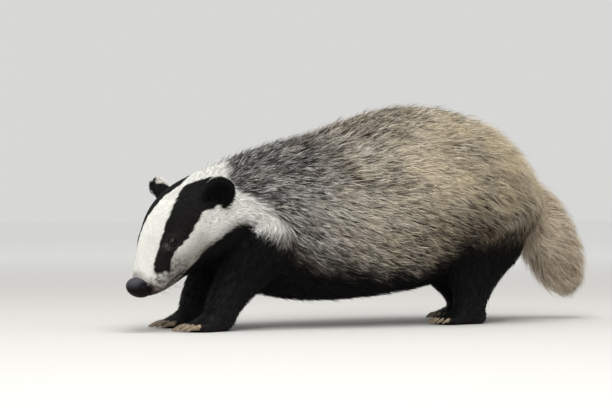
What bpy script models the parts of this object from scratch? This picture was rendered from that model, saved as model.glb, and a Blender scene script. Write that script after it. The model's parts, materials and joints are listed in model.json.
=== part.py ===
"""A young European badger in mid-walk with its head low, life size, on a level floor.

The animal faces -X and its left side is towards -Y. Lengths are in metres, +Z is up, the floor is z = 0.
The trunk is one loft from the snout to the rump, and the tail and legs are lofts that sink into it. A fine
voxel skin joins them into one body. Flat, tapered locks of the long coat are rooted in it, and thin cuts part
that body into the pieces a person would name.
"""

import math
import random

import bmesh
import bpy
from mathutils import Matrix, Vector
from mathutils.bvhtree import BVHTree

# Clearances and mesh sizes
GAP = 0.0003
RING_SIDES = 32
RINGS_PER_STATION = 5
BODY_SKIN = {"voxel": 0.0030, "passes": 8, "triangles": 2600}
HEAD_SKIN = {"voxel": 0.0015, "passes": 8, "triangles": 1900}
PAW_SKIN = {"voxel": 0.0012, "passes": 3, "triangles": 420}

# Outline of the trunk, tips of the coat included, from the snout back to the rump:
# top x, top z, bottom x, bottom z, half-width, squareness, swell below the middle, depth of the coat
TRUNK = (
    (-0.2675, 0.0560, -0.2480, 0.0360, 0.0125, 2.1, -0.10, 0.0000),
    (-0.2645, 0.0680, -0.2330, 0.0415, 0.0165, 2.2, -0.18, 0.0000),
    (-0.2605, 0.0810, -0.2175, 0.0495, 0.0205, 2.3, -0.18, 0.0000),
    (-0.2550, 0.0960, -0.2040, 0.0580, 0.0260, 2.4, -0.12, 0.0000),
    (-0.2475, 0.1110, -0.1930, 0.0645, 0.0330, 2.4, -0.05, 0.0000),
    (-0.2370, 0.1255, -0.1830, 0.0690, 0.0400, 2.5, 0.00, 0.0000),
    (-0.2220, 0.1400, -0.1740, 0.0705, 0.0455, 2.5, 0.03, 0.0000),
    (-0.2010, 0.1530, -0.1650, 0.0680, 0.0495, 2.5, 0.06, 0.0010),
    (-0.1750, 0.1640, -0.1550, 0.0600, 0.0520, 2.3, 0.06, 0.0030),
    (-0.1450, 0.1740, -0.1420, 0.0500, 0.0555, 2.2, 0.06, 0.0060),
    (-0.1050, 0.1890, -0.1200, 0.0360, 0.0650, 2.1, 0.08, 0.0090),
    (-0.0600, 0.2000, -0.0700, 0.0260, 0.0745, 2.1, 0.10, 0.0110),
    (-0.0100, 0.2170, -0.0150, 0.0250, 0.0820, 2.1, 0.10, 0.0130),
    (0.0400, 0.2310, 0.0350, 0.0290, 0.0880, 2.1, 0.10, 0.0140),
    (0.0900, 0.2340, 0.0800, 0.0360, 0.0895, 2.1, 0.10, 0.0140),
    (0.1370, 0.2250, 0.1150, 0.0450, 0.0870, 2.1, 0.10, 0.0140),
    (0.1810, 0.2030, 0.1450, 0.0560, 0.0780, 2.1, 0.08, 0.0140),
    (0.2125, 0.1720, 0.1720, 0.0720, 0.0620, 2.0, 0.06, 0.0130),
    (0.2290, 0.1410, 0.1950, 0.0880, 0.0400, 2.0, 0.00, 0.0100),
)
HEAD_END_X = -0.1300  # how far back the finely meshed head form runs before it is cut

# Tail, from inside the rump to the tip: x, z, half-width, half-height, coat
TAIL = (
    (0.1850, 0.1280, 0.0300, 0.0330, 0.0100),
    (0.2200, 0.1220, 0.0290, 0.0320, 0.0110),
    (0.2480, 0.1000, 0.0275, 0.0290, 0.0120),
    (0.2660, 0.0730, 0.0260, 0.0260, 0.0120),
    (0.2770, 0.0500, 0.0190, 0.0180, 0.0080),
    (0.2820, 0.0370, 0.0060, 0.0060, 0.0030),
)

# Legs, from inside the body down into the foot:
# x, distance from the middle, z, half-length fore and aft, half-width
FORELEG = (
    (-0.1000, 0.0300, 0.1350, 0.0350, 0.0240),
    (-0.1130, 0.0360, 0.1000, 0.0330, 0.0260),
    (-0.1330, 0.0410, 0.0700, 0.0270, 0.0225),
    (-0.1500, 0.0400, 0.0460, 0.0220, 0.0195),
    (-0.1615, 0.0400, 0.0260, 0.0185, 0.0180),
    (-0.1650, 0.0400, 0.0120, 0.0170, 0.0175),
)
HINDLEG = (
    (0.1500, 0.0360, 0.1400, 0.0500, 0.0320),
    (0.1430, 0.0440, 0.1050, 0.0520, 0.0330),
    (0.1330, 0.0500, 0.0750, 0.0450, 0.0280),
    (0.1310, 0.0510, 0.0500, 0.0310, 0.0220),
    (0.1310, 0.0500, 0.0310, 0.0210, 0.0180),
    (0.1290, 0.0500, 0.0140, 0.0180, 0.0165),
)
# How far each foot stands behind the plain pose, spread over the leg from the shoulder or hip down
STRIDE = {
    "foreleg_left": -0.013,
    "foreleg_right": 0.000,
    "hindleg_left": -0.012,
    "hindleg_right": 0.050,
}
CUFF_HEIGHT = {"fore": 0.0280, "hind": 0.0300}  # where each leg ends and its paw begins

# Seams between each leg and the trunk, seen from the side, for a leg with no stride: x, z
FORELEG_SEAM = (
    (-0.2350, -0.0200),
    (-0.2350, 0.0300),
    (-0.1950, 0.0470),
    (-0.1680, 0.0600),
    (-0.1560, 0.0860),
    (-0.1250, 0.1040),
    (-0.0900, 0.0920),
    (-0.0700, 0.0500),
    (-0.0680, -0.0200),
)
HINDLEG_SEAM = (
    (0.0620, -0.0200),
    (0.0620, 0.0420),
    (0.0820, 0.0850),
    (0.1180, 0.1100),
    (0.1580, 0.1080),
    (0.1900, 0.0860),
    (0.2100, 0.0480),
    (0.2100, -0.0200),
)
SEAM_INNER = 0.0160  # distance of a leg's inner cut from the middle
SEAM_OUTER = 0.1200
SEAM_SHIFT = 0.5  # how much of the stride the seam follows

# Cuts across the trunk: a point and the way the cut faces, in the pose of the level head
HEAD_CUT = ((-0.1700, 0.1150), (1.0, 0.05))
NECK_CUT = ((-0.1050, 0.1100), (1.0, -0.10))
TAIL_CUT = ((0.2200, 0.1130), (0.914, -0.406))

# Locks of the long coat, longest on the back and flanks
CORE_SHARE = 0.55  # how much of the coat's depth the body under the locks leaves out
LOCK_SEED = 14
LOCK_RINGS = (0.0, 0.28, 0.56, 0.82)  # along the lock, before its tip
LOCK_WIDTHS = (0.50, 1.0, 0.80, 0.42)
LOCK_RIDGE = (0.0, 0.50, 0.78, 0.95)  # height of its middle, from the sunk root to the tip
LOCK_EDGE = (0.0, 0.30, 0.45, 0.66)
LOCK_SINK = 0.004
LOCK_LIFT = 0.0018  # how far a tip stands out of the coat's outline
LOCK_BEND = 0.28
PATH_HUG = 0.65  # how closely a lock follows the surface under it
STEEPEST_FALL = 0.5  # how far a lock's edges bend down round the body, for its half-width
LOCK_STRAY = 0.10  # how far the lie of a lock wanders
LOCK_VARIED = 0.15  # share by which lengths and widths differ
LONGEST_COAT = 0.014
SHORTEST_SHARE = 0.55  # size of a lock where there is almost no coat
LIE_REACH = 0.4  # stations before and after a root that give the way its lock lies
COAT_TRIANGLES = 7600  # the body with all its locks, before it is parted
TRUNK_LOCKS = {
    "first": 8.6,
    "last": 17.6,
    "step": 0.86,
    "spacing": 0.039,
    "length": 0.078,
    "width": 0.020,
    "lowest": -0.66,
    "droop": 0.45,
}
TAIL_LOCKS = {
    "first": 0.8,
    "last": 4.0,
    "step": 0.8,
    "spacing": 0.036,
    "length": 0.058,
    "width": 0.015,
    "lowest": -1.1,
    "droop": 0.0,
}

# The head looks a little to the left: the turn starts at the neck and is whole at the ears
HEAD_TURN = math.radians(12)
TURN_PIVOT_X = -0.135
TURN_START_X = -0.115
TURN_WHOLE_X = -0.185

# Forms that fill out the head, in the pose of the level head: centre with the left-right distance
# from the middle, and radii
HEAD_FORMS = (((-0.2490, 0.0075, 0.0510), (0.0135, 0.0095, 0.0105)),)

NOSE_CENTRE = (-0.2640, 0.0000, 0.0447)
NOSE_RADII = (0.0140, 0.0122, 0.0096)
NOSE_TILT = math.radians(-18)
NOSTRIL = ((-0.0105, 0.0055, 0.0005), (0.0045, 0.0030, 0.0030))
NOSTRIL_SLIT = ((-0.0065, 0.0105, -0.0020), (0.0060, 0.0035, 0.0013))
PHILTRUM_WIDTH = 0.0009
PHILTRUM_DEPTH = 0.0012

# Line of the mouth, from under the nose to its corner: x, z
MOUTH_LINE = ((-0.2660, 0.0330), (-0.2560, 0.0372), (-0.2440, 0.0430), (-0.2331, 0.0512), (-0.2200, 0.0610))
MOUTH_WIDTH = 0.0010
MOUTH_DEPTH = 0.0030

EYE_RADIUS = 0.0052
EYE_SIGHT = (-0.2411, 0.0890)  # where the eye is seen on the side of the head: x, z
EYE_SUNK = 0.0022
LID_RADII = (0.0060, 0.0049)
LID_TUBE = 0.0014
LID_SIDES = (18, 6)

EAR_BASE = (-0.1975, 0.0395, 0.1348)
EAR_UP = (0.10, 0.55, 0.83)
EAR_FACE = (-0.50, 0.80, -0.30)
EAR_RISE = 0.0045
EAR_PROUD = 0.0025  # how far the cup is lifted off the head, the way it faces
EAR_RADII = (0.0160, 0.0175, 0.0085)  # along its width, height and depth
EAR_HOLLOW = (0.0137, 0.0152, 0.0090)
EAR_HOLLOW_OUT = 0.0038

# Feet, measured from the end of the leg: the sole's forms, then the toes and claws
PAWS = {
    "fore": {
        "pads": (
            ((-0.0060, 0.0000, 0.0080), (0.0190, 0.0165, 0.0120)),
            ((-0.0160, 0.0000, 0.0060), (0.0150, 0.0180, 0.0085)),
        ),
        "toe_root": -0.0180,
        "toe_reach": 0.0165,
        "toe_spread": 0.0078,
        "toe_curve": 0.0011,
        "toe_radius": 0.0050,
        "claw_length": 0.0160,
        "claw_width": 0.0025,
    },
    "hind": {
        "pads": (
            ((0.0020, 0.0000, 0.0080), (0.0200, 0.0145, 0.0120)),
            ((-0.0130, 0.0000, 0.0060), (0.0200, 0.0155, 0.0080)),
        ),
        "toe_root": -0.0240,
        "toe_reach": 0.0135,
        "toe_spread": 0.0068,
        "toe_curve": 0.0010,
        "toe_radius": 0.0044,
        "claw_length": 0.0090,
        "claw_width": 0.0021,
    },
}
TOES = 5
TOE_HEIGHT = 0.0042
CLAW_SIDES = 5
CLAW_RINGS = 3
CLAW_DROP = 0.0038

COLOURS = {
    "white": (0.80, 0.79, 0.75, 1.0),
    "black": (0.020, 0.018, 0.017, 1.0),
    "grey": (0.30, 0.28, 0.26, 1.0),
    "pale": (0.52, 0.48, 0.43, 1.0),
    "nose": (0.030, 0.030, 0.034, 1.0),
    "eye": (0.010, 0.008, 0.008, 1.0),
}
ROUGHNESS = {"white": 0.75, "black": 0.7, "grey": 0.8, "pale": 0.8, "nose": 0.4, "eye": 0.08}
SIDES = {"left": -1, "right": 1}


def clear_scene():
    """Removes the objects that a new file starts with."""
    for obj in list(bpy.data.objects):
        bpy.data.objects.remove(obj)


def coat_material(name):
    """The plain colour of one kind of coat, or of bare skin."""
    made = bpy.data.materials.get(name)
    if made is None:
        made = bpy.data.materials.new(name)
        made.use_nodes = True
        shader = made.node_tree.nodes["Principled BSDF"]
        shader.inputs["Base Color"].default_value = COLOURS[name]
        shader.inputs["Roughness"].default_value = ROUGHNESS[name]
        shader.inputs["Metallic"].default_value = 0.0
    return made


def object_from(bm, name, kind="grey"):
    """Turns a bmesh into a linked object with one coat material."""
    mesh = bpy.data.meshes.new(name)
    bmesh.ops.recalc_face_normals(bm, faces=bm.faces)
    bm.to_mesh(mesh)
    bm.free()
    mesh.materials.append(coat_material(kind))
    obj = bpy.data.objects.new(name, mesh)
    bpy.context.scene.collection.objects.link(obj)
    return obj


def bmesh_of(obj):
    bm = bmesh.new()
    bm.from_mesh(obj.data)
    return bm


def put_back(bm, obj):
    bm.to_mesh(obj.data)
    bm.free()
    obj.data.update()


def settle(obj):
    """Applies the modifiers of an object."""
    bpy.context.view_layer.update()
    depsgraph = bpy.context.evaluated_depsgraph_get()
    mesh = bpy.data.meshes.new_from_object(obj.evaluated_get(depsgraph))
    obj.modifiers.clear()
    obj.data = mesh
    return obj


def copy_of(obj, name):
    made = bpy.data.objects.new(name, obj.data.copy())
    bpy.context.scene.collection.objects.link(made)
    return made


def discard(*objects):
    for obj in objects:
        bpy.data.objects.remove(obj)


def dressed(obj, name, kind):
    """Names a finished piece, gives it one material and shades it smooth."""
    obj.name = name
    obj.data.name = name
    obj.data.materials.clear()
    obj.data.materials.append(coat_material(kind))
    for face in obj.data.polygons:
        face.material_index = 0
    obj.data.shade_smooth()
    return obj


def boolean(obj, other, operation, keep=False):
    """Joins, cuts or intersects an object with another closed one."""
    step = obj.modifiers.new(operation.lower(), "BOOLEAN")
    step.operation = operation
    step.object = other
    step.solver = "EXACT"
    settle(obj)
    if not keep:
        discard(other)
    return obj


def keep_largest(obj):
    """Keeps only the largest closed surface of an object, as three-sided faces."""
    bm = bmesh_of(obj)
    bmesh.ops.triangulate(bm, faces=bm.faces)
    bm.faces.ensure_lookup_table()
    seen = set()
    groups = []
    for start in bm.faces:
        if start.index in seen:
            continue
        seen.add(start.index)
        group = [start]
        for face in group:
            for edge in face.edges:
                for other in edge.link_faces:
                    if other.index not in seen:
                        seen.add(other.index)
                        group.append(other)
        groups.append(group)
    groups.sort(key=len, reverse=True)
    scraps = [face for group in groups[1:] for face in group]
    bmesh.ops.delete(bm, geom=scraps, context="FACES")
    put_back(bm, obj)
    return obj


def sliced(obj, point, normal):
    """Keeps the side of a flat cut that its normal points to, and closes it with a flat face."""
    bm = bmesh_of(obj)
    geometry = bm.verts[:] + bm.edges[:] + bm.faces[:]
    bmesh.ops.bisect_plane(bm, geom=geometry, dist=1e-6, plane_co=point, plane_no=normal, clear_inner=True)
    rim = [edge for edge in bm.edges if edge.is_boundary]
    bmesh.ops.holes_fill(bm, edges=rim, sides=0)
    bmesh.ops.triangulate(bm, faces=[face for face in bm.faces if len(face.verts) > 3])
    put_back(bm, obj)
    return obj


def grown(obj, distance, name):
    """A copy whose surface lies farther out by a small distance."""
    made = copy_of(obj, name)
    bm = bmesh_of(made)
    for vert in bm.verts:
        vert.co += vert.normal * distance * vert.calc_shell_factor()
    put_back(bm, made)
    return made


def moved(obj, matrix):
    obj.data.transform(matrix)
    if matrix.determinant() < 0:
        obj.data.flip_normals()
    return obj


def between(rows, count):
    """Rows of numbers on a smooth curve through the given rows, count to each stretch."""
    made = []
    last = len(rows) - 1
    for i in range(last):
        before, here, there, after = (rows[min(max(j, 0), last)] for j in (i - 1, i, i + 1, i + 2))
        for k in range(count):
            t = k / count
            row = []
            for a, b, c, d in zip(before, here, there, after):
                bend = (2 * a - 5 * b + 4 * c - d) * t * t + (3 * b - a - 3 * c + d) * t**3
                row.append(0.5 * (2 * b + (c - a) * t + bend))
            made.append(tuple(row))
    made.append(tuple(rows[last]))
    return made


def rounded(value, squareness):
    """A sine or cosine pushed outwards, so that a ring comes closer to a square."""
    return math.copysign(abs(value) ** (2 / squareness), value)


def surface_tree(obj):
    bm = bmesh_of(obj)
    tree = BVHTree.FromBMesh(bm)
    bm.free()
    return tree


def loft(sections, name):
    """A closed skin through sections: each a centre, an up vector, a side vector, a squareness and a swell."""
    bm = bmesh.new()
    rings = []
    for centre, up, side, squareness, swell in sections:
        ring = []
        for k in range(RING_SIDES):
            angle = 2 * math.pi * k / RING_SIDES
            high = rounded(math.sin(angle), squareness)
            wide = rounded(math.cos(angle), squareness) * (1 - swell * high)
            ring.append(bm.verts.new(centre + up * high + side * wide))
        rings.append([bm.edges.new((ring[k], ring[(k + 1) % RING_SIDES])) for k in range(RING_SIDES)])
    for near, far in zip(rings, rings[1:]):
        bmesh.ops.bridge_loops(bm, edges=near + far)
    for ring in (rings[0], rings[-1]):
        bmesh.ops.holes_fill(bm, edges=ring, sides=0)
    return object_from(bm, name)


def domed(sections, share):
    """Adds three shrinking sections past each end, so that the ends are round."""
    def cap(end, inner):
        centre, up, side, squareness, swell = end
        out = (centre - inner[0]).normalized() * up.length * share
        steps = ((0.38, 0.92), (0.71, 0.70), (0.92, 0.38))
        return [(centre + out * far, up * size, side * size, squareness, swell) for far, size in steps]

    return cap(sections[0], sections[1])[::-1] + sections + cap(sections[-1], sections[-2])


def ellipsoid(centre, radii, name, tilt=None, sides=20, rings=12):
    bm = bmesh.new()
    bmesh.ops.create_uvsphere(bm, u_segments=sides, v_segments=rings, radius=1.0)
    size = Matrix.Diagonal(Vector(radii)).to_4x4()
    turn = tilt if tilt is not None else Matrix.Identity(4)
    bmesh.ops.transform(bm, matrix=Matrix.Translation(Vector(centre)) @ turn @ size, verts=bm.verts)
    return object_from(bm, name)


def turned(point, at_x):
    """A point or direction of the level head or neck, turned with the head; at_x says how far forward it is."""
    share = min(max((TURN_START_X - at_x) / (TURN_START_X - TURN_WHOLE_X), 0), 1)
    angle = HEAD_TURN * share * share * (3 - 2 * share)
    return Matrix.Rotation(angle, 3, "Z") @ point


def placed(point):
    """A point of the level head or neck, where the turned head has it."""
    pivot = Vector((TURN_PIVOT_X, 0, 0))
    return pivot + turned(point - pivot, point.x)


def head_frame():
    """Carries a piece of the level head to its place on the turned head."""
    pivot = Vector((TURN_PIVOT_X, 0, 0))
    return Matrix.Translation(pivot) @ Matrix.Rotation(HEAD_TURN, 4, "Z") @ Matrix.Translation(-pivot)


def trunk_sections(coat_share):
    """Sections from the snout to the rump. coat_share is how much of the coat's depth is left out."""
    made = []
    for top_x, top_z, low_x, low_z, half, squareness, swell, coat in between(TRUNK, RINGS_PER_STATION):
        top, low = Vector((top_x, 0, top_z)), Vector((low_x, 0, low_z))
        up = (top - low) / 2
        thin = coat * coat_share
        middle = (top + low) / 2
        rise = up.normalized() * (up.length - thin)
        wide = Vector((0, half - thin, 0))
        made.append((placed(middle), turned(rise, middle.x), turned(wide, middle.x), squareness, swell))
    return made


def tail_sections(coat_share):
    rows = between(TAIL, RINGS_PER_STATION)
    made = []
    for i, (x, z, half, high, coat) in enumerate(rows):
        ahead, behind = rows[min(i + 1, len(rows) - 1)], rows[max(i - 1, 0)]
        along = Vector((ahead[0] - behind[0], 0, ahead[1] - behind[1])).normalized()
        up = Vector((-along.z, 0, along.x))
        thin = coat * coat_share
        made.append((Vector((x, 0, z)), up * (high - thin), Vector((0, half - thin, 0)), 2.0, 0.0))
    return made


def leg_rows(name):
    """The stations of one leg, with the stride spread down its length and the side it is on."""
    rows = FORELEG if name.startswith("fore") else HINDLEG
    side = SIDES[name.split("_")[1]]
    high, low = rows[0][2], rows[-1][2]
    made = []
    for x, away, z, long, wide in rows:
        share = (high - z) / (high - low)
        made.append((x + STRIDE[name] * share, side * away, z, long, wide))
    return made


def leg_sections(name):
    rows = between(leg_rows(name), RINGS_PER_STATION)
    made = []
    for i, (x, y, z, long, wide) in enumerate(rows):
        ahead, behind = rows[min(i + 1, len(rows) - 1)], rows[max(i - 1, 0)]
        along = (Vector(ahead[:3]) - Vector(behind[:3])).normalized()
        side = Vector((0, 1, 0))
        fore = side.cross(along).normalized()
        made.append((Vector((x, y, z)), fore * long, side * wide, 2.0, 0.0))
    return made


def skin_of(pieces, name, skin):
    """One smooth closed body from overlapping closed pieces."""
    body = pieces[0]
    bm = bmesh.new()
    for piece in pieces:
        bm.from_mesh(piece.data)
    discard(*pieces[1:])
    put_back(bm, body)
    body.name = name
    remesh = body.modifiers.new("voxel skin", "REMESH")
    remesh.mode = "VOXEL"
    remesh.voxel_size = skin["voxel"]
    smooth = body.modifiers.new("smooth", "SMOOTH")
    smooth.factor = 0.5
    smooth.iterations = skin["passes"]
    return settle(body)


def thinned(body, triangles):
    """Brings a body down to about so many triangles."""
    faces = sum(len(p.vertices) - 2 for p in body.data.polygons)
    step = body.modifiers.new("fewer faces", "DECIMATE")
    step.ratio = triangles / faces
    return settle(body)


def along_surface(way, normal):
    return (way - normal * way.dot(normal)).normalized()


def surface_step(tree, spot, normal, way, reach):
    """The next point of a path that stays near the surface and bends no more sharply than a lock can."""
    straight = spot + way * reach
    found, slope, _, _ = tree.find_nearest(straight)
    return straight.lerp(found, PATH_HUG), normal.lerp(slope, PATH_HUG).normalized()


def lock_on(tree, root, lie, bend, size):
    """A flat, tapered lock that follows the surface under it from its sunk root to its raised tip."""
    length, width, height = size
    spot, normal, _, _ = tree.find_nearest(root)
    way = along_surface(lie, normal)
    bm = bmesh.new()
    rings = []
    along = 0.0
    for i, reach in enumerate(LOCK_RINGS):
        spot, normal = surface_step(tree, spot, normal, way, (reach - along) * length)
        way = along_surface(way + lie * 0.5, normal)
        side = normal.cross(way)
        way = along_surface(way + side * bend, normal)
        along = reach
        half = LOCK_WIDTHS[i] * width
        ridge = LOCK_RIDGE[i] * (height + LOCK_SINK) - LOCK_SINK
        edge = LOCK_EDGE[i] * (height + LOCK_SINK) - LOCK_SINK
        ring = [bm.verts.new(spot + normal * ridge)]
        for hand in (1, -1):
            beside = spot + side * hand * half
            fall = (spot - tree.find_nearest(beside)[0]).dot(normal)
            ring.append(bm.verts.new(beside + normal * (edge - min(max(fall, 0.0), half * STEEPEST_FALL))))
        rings.append([bm.edges.new((ring[k], ring[(k + 1) % 3])) for k in range(3)])
    for near, far in zip(rings, rings[1:]):
        bmesh.ops.bridge_loops(bm, edges=near + far)
    bmesh.ops.holes_fill(bm, edges=rings[0], sides=0)
    end = bmesh.ops.holes_fill(bm, edges=rings[-1], sides=0)["faces"][0]
    tip = bmesh.ops.poke(bm, faces=[end])["verts"][0]
    spot, normal = surface_step(tree, spot, normal, way, (1 - along) * length)
    tip.co = spot + normal * height
    bmesh.ops.triangulate(bm, faces=bm.faces)
    return object_from(bm, "lock")


def section_at(sections, station):
    return sections[min(max(round(station * RINGS_PER_STATION), 0), len(sections) - 1)]


def coat_at(table, station):
    return table[min(round(station), len(table) - 1)][-1]


def row_of_roots(section, spacing, lowest, offset, tree):
    """Points round one section, on the back and down both sides as far as the lowest."""
    centre, up, side, _, _ = section
    around = 2 * math.pi * math.sqrt((up.length**2 + side.length**2) / 2)
    count = max(round(around / spacing), 3)
    made = []
    for k in range(count):
        angle = 2 * math.pi * (k + offset) / count
        ray = up * math.sin(angle) + side * math.cos(angle)
        spot, _, _, _ = tree.ray_cast(centre + ray * 3, -ray)
        if spot is not None and math.sin(angle) >= lowest:
            made.append(spot)
    return made


def locks_along(tree, table, sections, size, draw):
    """Locks of one form in staggered rows, each lying backwards and a little down."""
    locks = []
    rows = math.floor((size["last"] - size["first"]) / size["step"]) + 1
    for row in range(rows):
        station = size["first"] + row * size["step"]
        section = section_at(sections, station)
        coat = coat_at(table, station)
        grown_out = SHORTEST_SHARE + (1 - SHORTEST_SHARE) * coat / LONGEST_COAT
        ahead, behind = (section_at(sections, station + reach)[0] for reach in (-LIE_REACH, LIE_REACH))
        offset = 0.25 + 0.5 * (row % 2)
        for root in row_of_roots(section, size["spacing"], size["lowest"], offset, tree):
            lower = min(max((section[0].z + section[1].z - root.z) / (2 * section[1].z), 0.0), 0.8)
            lie = (behind - ahead).normalized() - Vector((0, 0, size["droop"] * lower))
            lie += Vector((0, draw.uniform(-LOCK_STRAY, LOCK_STRAY), draw.uniform(-LOCK_STRAY, LOCK_STRAY)))
            length = size["length"] * grown_out * draw.uniform(1 - LOCK_VARIED, 1 + LOCK_VARIED)
            width = size["width"] * grown_out * draw.uniform(1 - LOCK_VARIED, 1 + LOCK_VARIED)
            height = coat * CORE_SHARE + LOCK_LIFT * draw.uniform(0.3, 1.3)
            bend = draw.uniform(-LOCK_BEND, LOCK_BEND)
            locks.append(lock_on(tree, root, lie.normalized(), bend, (length, width, height)))
    return locks


def coat_locks(tree):
    draw = random.Random(LOCK_SEED)
    trunk = locks_along(tree, TRUNK, trunk_sections(CORE_SHARE), TRUNK_LOCKS, draw)
    return trunk + locks_along(tree, TAIL, tail_sections(CORE_SHARE), TAIL_LOCKS, draw)


def rooted(body, locks):
    """Joins all locks with the body they grow from."""
    coat = bpy.data.collections.new("coat")
    for lock in locks:
        coat.objects.link(lock)
    join = body.modifiers.new("locks", "BOOLEAN")
    join.operation = "UNION"
    join.operand_type = "COLLECTION"
    join.collection = coat
    join.solver = "MANIFOLD"
    settle(body)
    discard(*locks)
    bpy.data.collections.remove(coat)
    return keep_largest(thinned(body, COAT_TRIANGLES))


def body_form():
    """The whole animal with its coat, without its paws' details."""
    trunk = loft(domed(trunk_sections(CORE_SHARE), 0.35), "trunk_form")
    tail = loft(domed(tail_sections(CORE_SHARE), 0.6), "tail_form")
    legs = [loft(domed(leg_sections(name), 0.5), name + "_form") for name in STRIDE]
    body = thinned(skin_of([trunk, tail] + legs, "body", BODY_SKIN), BODY_SKIN["triangles"])
    return rooted(body, coat_locks(surface_tree(body)))


def prism(outline, near_y, far_y, name):
    """A closed block with the outline, given as x and z, between two distances from the middle."""
    bm = bmesh.new()
    face = bm.faces.new([bm.verts.new((x, near_y, z)) for x, z in outline])
    made = bmesh.ops.extrude_face_region(bm, geom=[face])["geom"]
    moved_verts = [item for item in made if isinstance(item, bmesh.types.BMVert)]
    bmesh.ops.translate(bm, verts=moved_verts, vec=(0, far_y - near_y, 0))
    return object_from(bm, name)


def offset_outline(points, distance):
    """An outline moved outwards by a distance; the points run clockwise as seen from -Y."""
    made = []
    for i, point in enumerate(points):
        ahead, behind = points[(i + 1) % len(points)], points[i - 1]
        along = Vector((ahead[0] - behind[0], ahead[1] - behind[1])).normalized()
        made.append((point[0] - along.y * distance, point[1] + along.x * distance))
    return made


def leg_cell(name, extra):
    """The block that cuts one leg from the body, larger all round by a distance."""
    seam = FORELEG_SEAM if name.startswith("fore") else HINDLEG_SEAM
    shift = STRIDE[name] * SEAM_SHIFT
    side = SIDES[name.split("_")[1]]
    outline = [(x + shift, z) for x, z in between(seam, 3)]
    inner, outer = side * (SEAM_INNER - extra), side * SEAM_OUTER
    return prism(offset_outline(outline, extra), inner, outer, name + "_cell")


def cut_plane(cut):
    """A point and a direction of a cut across the trunk, turned with the neck where it lies there."""
    (x, z), (nx, nz) = cut
    return placed(Vector((x, 0, z))), turned(Vector((nx, 0, nz)).normalized(), x)


def part_between(body, name, kind, front, back):
    """The stretch of the body between two cuts, half a gap inside each."""
    made = copy_of(body, name)
    if front:
        point, normal = cut_plane(front)
        sliced(made, point + normal * GAP / 2, normal)
    if back:
        point, normal = cut_plane(back)
        sliced(made, point - normal * GAP / 2, -normal)
    return dressed(keep_largest(made), name, kind)


def head_form():
    """The head with its cheeks, brows and jaw, still uncut."""
    sections = [s for s in trunk_sections(0.0) if s[0].x < HEAD_END_X]
    pieces = [loft(domed(sections, 0.35), "head")]
    for (x, y, z), radii in HEAD_FORMS:
        for side in SIDES.values():
            pieces.append(moved(ellipsoid((x, side * y, z), radii, "head_form"), head_frame()))
    return thinned(skin_of(pieces, "head", HEAD_SKIN), HEAD_SKIN["triangles"])


def eye_frame(tree, side):
    """Where one eye sits: its centre, and directions forward, up and out of the head."""
    x, z = EYE_SIGHT
    start = head_frame() @ Vector((x, 0, z))
    sideways = (head_frame().to_3x3() @ Vector((0, side, 0))).normalized()
    spot, normal, _, _ = tree.ray_cast(start + sideways * 0.1, -sideways)
    out = (normal + sideways).normalized()
    forward = (head_frame().to_3x3() @ Vector((-0.55, 0, -0.83))).normalized()
    forward = (forward - out * forward.dot(out)).normalized()
    up = forward.cross(out) * side
    return spot - out * EYE_SUNK, forward, up.normalized(), out


def ring_around(centre, forward, up, out, radii, tube, name):
    """A closed tube along an oval, for the rim of the lids."""
    around, across = LID_SIDES
    bm = bmesh.new()
    rings = []
    for i in range(around):
        angle = 2 * math.pi * i / around
        spoke = forward * math.cos(angle) * radii[0] + up * math.sin(angle) * radii[1]
        middle = centre + spoke
        ring = []
        for k in range(across):
            turn = 2 * math.pi * k / across
            ring.append(bm.verts.new(middle + (spoke.normalized() * math.cos(turn) + out * math.sin(turn)) * tube))
        rings.append([bm.edges.new((ring[k], ring[(k + 1) % across])) for k in range(across)])
    for i in range(around):
        bmesh.ops.bridge_loops(bm, edges=rings[i] + rings[(i + 1) % around])
    return object_from(bm, name)


def nose_form(extra, name):
    tilt = Matrix.Rotation(NOSE_TILT, 4, "Y")
    radii = [r + extra for r in NOSE_RADII]
    return ellipsoid(NOSE_CENTRE, radii, name, tilt, 18, 10)


def make_nose():
    """The bare pad with its two nostrils and the groove between them."""
    nose = nose_form(0.0, "nose")
    centre = Vector(NOSE_CENTRE)
    for side in SIDES.values():
        for (x, y, z), radii in (NOSTRIL, NOSTRIL_SLIT):
            hole = ellipsoid(centre + Vector((x, side * y, z)), radii, "nostril", None, 8, 6)
            boolean(nose, hole, "DIFFERENCE")
    reach = NOSE_RADII[0] * 2
    front = NOSE_CENTRE[0] - NOSE_RADII[0]
    outline = (
        (front - reach, NOSE_CENTRE[2] + 0.001),
        (front + PHILTRUM_DEPTH, NOSE_CENTRE[2] + 0.001),
        (front + PHILTRUM_DEPTH * 4, NOSE_CENTRE[2] - NOSE_RADII[2] * 1.3),
        (front - reach, NOSE_CENTRE[2] - NOSE_RADII[2] * 1.3),
    )
    boolean(nose, prism(outline, -PHILTRUM_WIDTH / 2, PHILTRUM_WIDTH / 2, "philtrum"), "DIFFERENCE")
    return dressed(keep_largest(moved(nose, head_frame())), "nose", "nose")


def mouth_cutter(head):
    """A thin strip along the line of the mouth that goes only a little way into the head."""
    line = between(MOUTH_LINE, 3)
    outline = offset_outline(line, MOUTH_WIDTH / 2)[: len(line)]
    lower = offset_outline(line, -MOUTH_WIDTH / 2)[::-1]
    strip = moved(prism(outline + lower, -0.04, 0.04, "mouth"), head_frame())
    return boolean(strip, grown(head, -MOUTH_DEPTH, "mouth_core"), "DIFFERENCE")


def ear_matrix(side):
    up = Vector((EAR_UP[0], side * EAR_UP[1], EAR_UP[2])).normalized()
    face = Vector((EAR_FACE[0], side * EAR_FACE[1], EAR_FACE[2]))
    face = (face - up * face.dot(up)).normalized()
    wide = up.cross(face)
    base = Vector((EAR_BASE[0], side * EAR_BASE[1], EAR_BASE[2])) + up * EAR_RISE + face * EAR_PROUD
    frame = Matrix((wide, up, face)).transposed().to_4x4()
    return head_frame() @ Matrix.Translation(base) @ frame


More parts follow.
